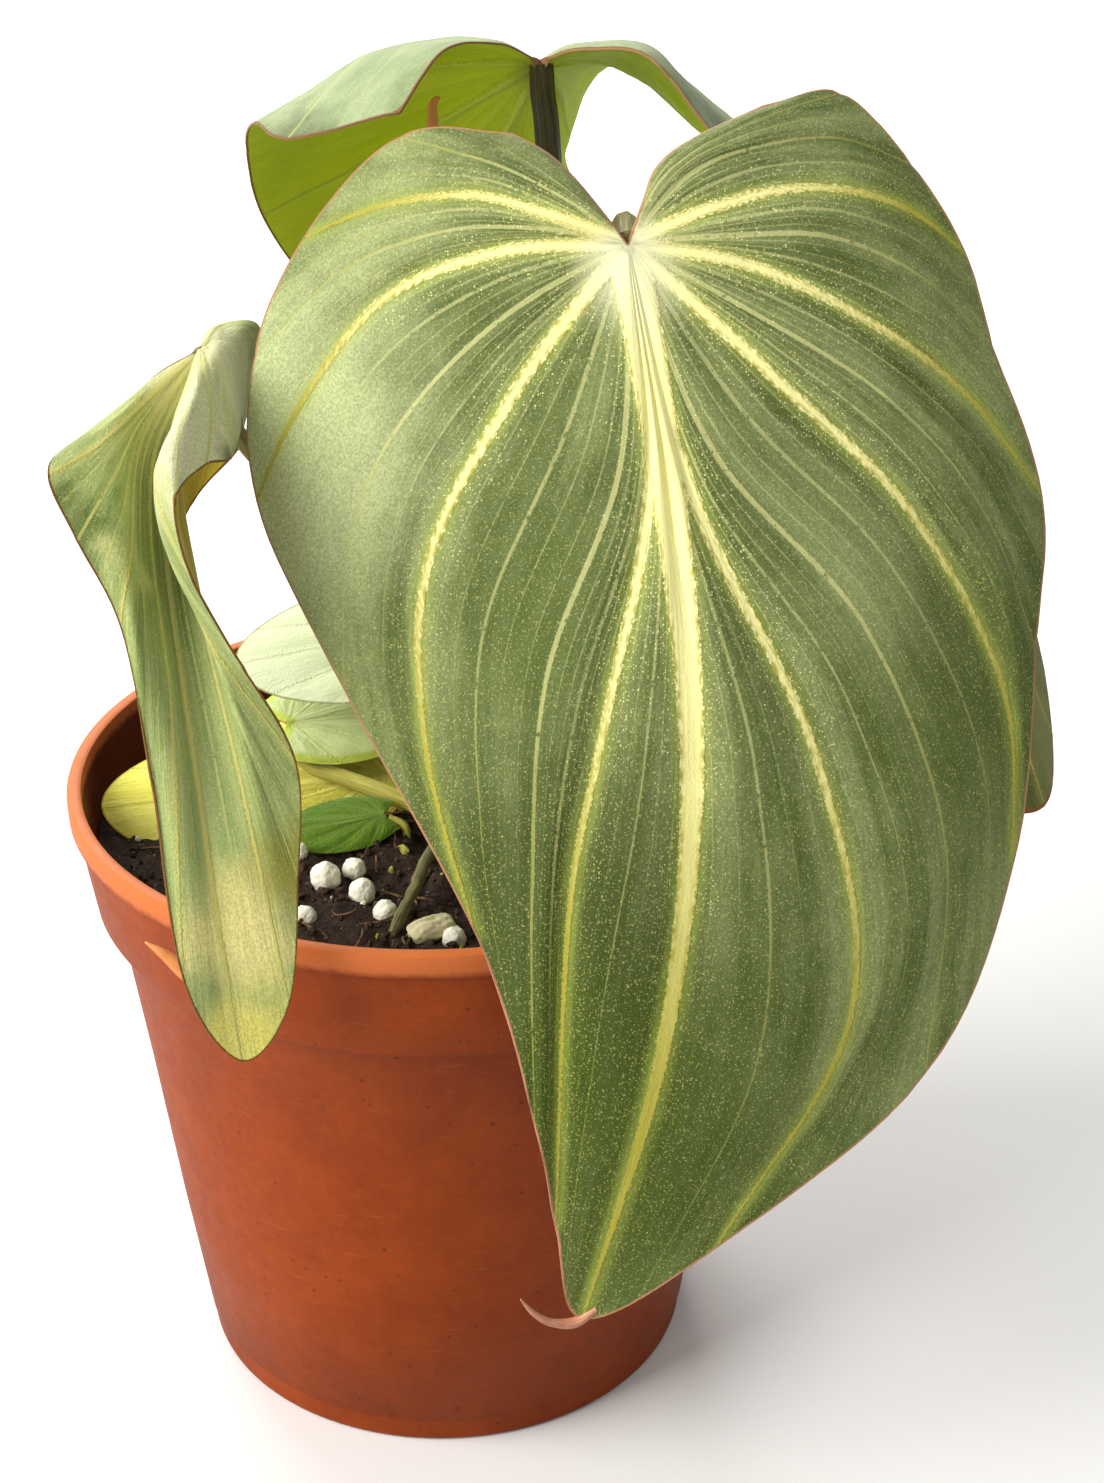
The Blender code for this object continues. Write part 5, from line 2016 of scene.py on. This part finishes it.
@dataclass
class Studio:
    """Plain pale floor, soft light and the camera; aim and floor_size are in metres."""

    camera_place: Point = (19.0, -390.0, 313.0)
    pitch: float = math.radians(62.6)
    lens: float = 65.23
    sensor: float = 36.0
    aim: Point = (0.01, 0.0, 0.12)
    floor_size: float = 6.0
    floor_gap: float = 0.2
    paper: Colour = (0.92, 0.92, 0.92)
    paper_shade: float = 0.985
    bounce: Colour = (0.5, 0.5, 0.5)
    far_glow: Colour = (0.6, 0.6, 0.6)
    glow_reach: tuple[float, float] = (350.0, 1100.0)
    sky_light: float = 0.4

    def build(self) -> None:
        """Build the floor, the lamps, the world and the camera."""
        self.build_floor()
        self.add_lamp("key_lamp", (-0.95, -0.4, 0.75), size=0.9, power=21.0, colour=(1.0, 0.98, 0.93))
        self.add_lamp("back_lamp", (-0.3, 0.85, 0.85), size=0.8, power=10.0, colour=(1.0, 0.99, 0.95))
        self.add_lamp("fill_lamp", (0.0, -1.1, 0.8), size=0.9, power=0.8, colour=(0.98, 0.99, 1.0))
        self.build_sky()
        self.add_camera()
        bpy.context.scene.view_settings.view_transform = "Standard"

    def build_sky(self) -> None:
        """Light the scene softly from all round, with white behind it in the picture."""
        world = bpy.data.worlds.new("soft sky")
        world.use_nodes = True
        sky = Graph(world.node_tree)
        backdrop = world.node_tree.nodes["Background"]
        backdrop.inputs["Color"].default_value = (1, 1, 1, 1)
        seen = sky.node("LightPath").outputs["Is Camera Ray"]
        strength = sky.math("ADD", self.sky_light, sky.math("MULTIPLY", seen, 1.0 - self.sky_light))
        sky.feed(backdrop.inputs["Strength"], strength)
        bpy.context.scene.world = world

    def add_camera(self) -> None:
        """Set up the camera at the photograph's angle."""
        lens = bpy.data.cameras.new("photo_camera")
        lens.lens = self.lens
        lens.sensor_width = self.sensor
        lens.clip_start = 0.01
        camera = bpy.data.objects.new("photo_camera", lens)
        bpy.context.scene.collection.objects.link(camera)
        camera.location = Vector(self.camera_place) * MM
        camera.rotation_euler = (self.pitch, 0, 0)
        bpy.context.scene.camera = camera

    def build_floor(self) -> None:
        """Lay the paper floor just under the pot."""
        half = self.floor_size / 2 / MM
        z = -self.floor_gap
        points = [(-half, -half, z), (half, -half, z), (half, half, z), (-half, half, z)]
        graph, shader = start_material("paper floor", 0.9)
        shade = tuple(part * self.paper_shade for part in self.paper)
        tone = graph.mix(graph.noise(graph.place(), 0.4, 2.0), self.paper, shade)
        seen = graph.node("LightPath").outputs["Is Camera Ray"]
        graph.feed(shader.inputs["Base Color"], graph.mix(seen, self.bounce, tone))
        far = graph.step(graph.away(graph.place(), (0.0, 0.0, 0.0)), *self.glow_reach)
        graph.feed(shader.inputs["Emission Color"], graph.mix(far, (0.0, 0.0, 0.0), self.far_glow))
        shader.inputs["Emission Strength"].default_value = 1.0
        floor = add_mesh("paper_floor", points, [(0, 1, 2, 3)], [bpy.data.materials["paper floor"]])

    def add_lamp(self, name: str, place: Point, size: float, power: float, colour: Colour) -> None:
        """Hang one soft lamp that looks at the plant.

        Args:
            name: The lamp's name.
            place: Where it hangs, in metres.
            size: Its width in metres.
            power: Its power in watts.
            colour: Its colour.
        """
        light = bpy.data.lights.new(name, "AREA")
        light.size = size
        light.energy = power
        light.color = colour
        lamp = bpy.data.objects.new(name, light)
        bpy.context.scene.collection.objects.link(lamp)
        lamp.location = place
        aim = Vector(self.aim) - Vector(place)
        lamp.rotation_euler = aim.to_track_quat("-Z", "Y").to_euler()


def main() -> None:
    """Build the plant, its pot and the studio."""
    logging.basicConfig(level=logging.INFO, format="%(name)s: %(message)s")
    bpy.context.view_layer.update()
    clear_choice()
    pot = Pot()
    pot.build()
    soil = Soil(pot)
    soil.build()
    Ground(soil).build()
    Stalks().build()
    FrontLeaf().build()
    RearLeaf().build()
    LeftLeaf().build()
    SmallLeaves().build()
    Studio().build()
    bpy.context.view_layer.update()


if __name__ == "__main__":
    main()
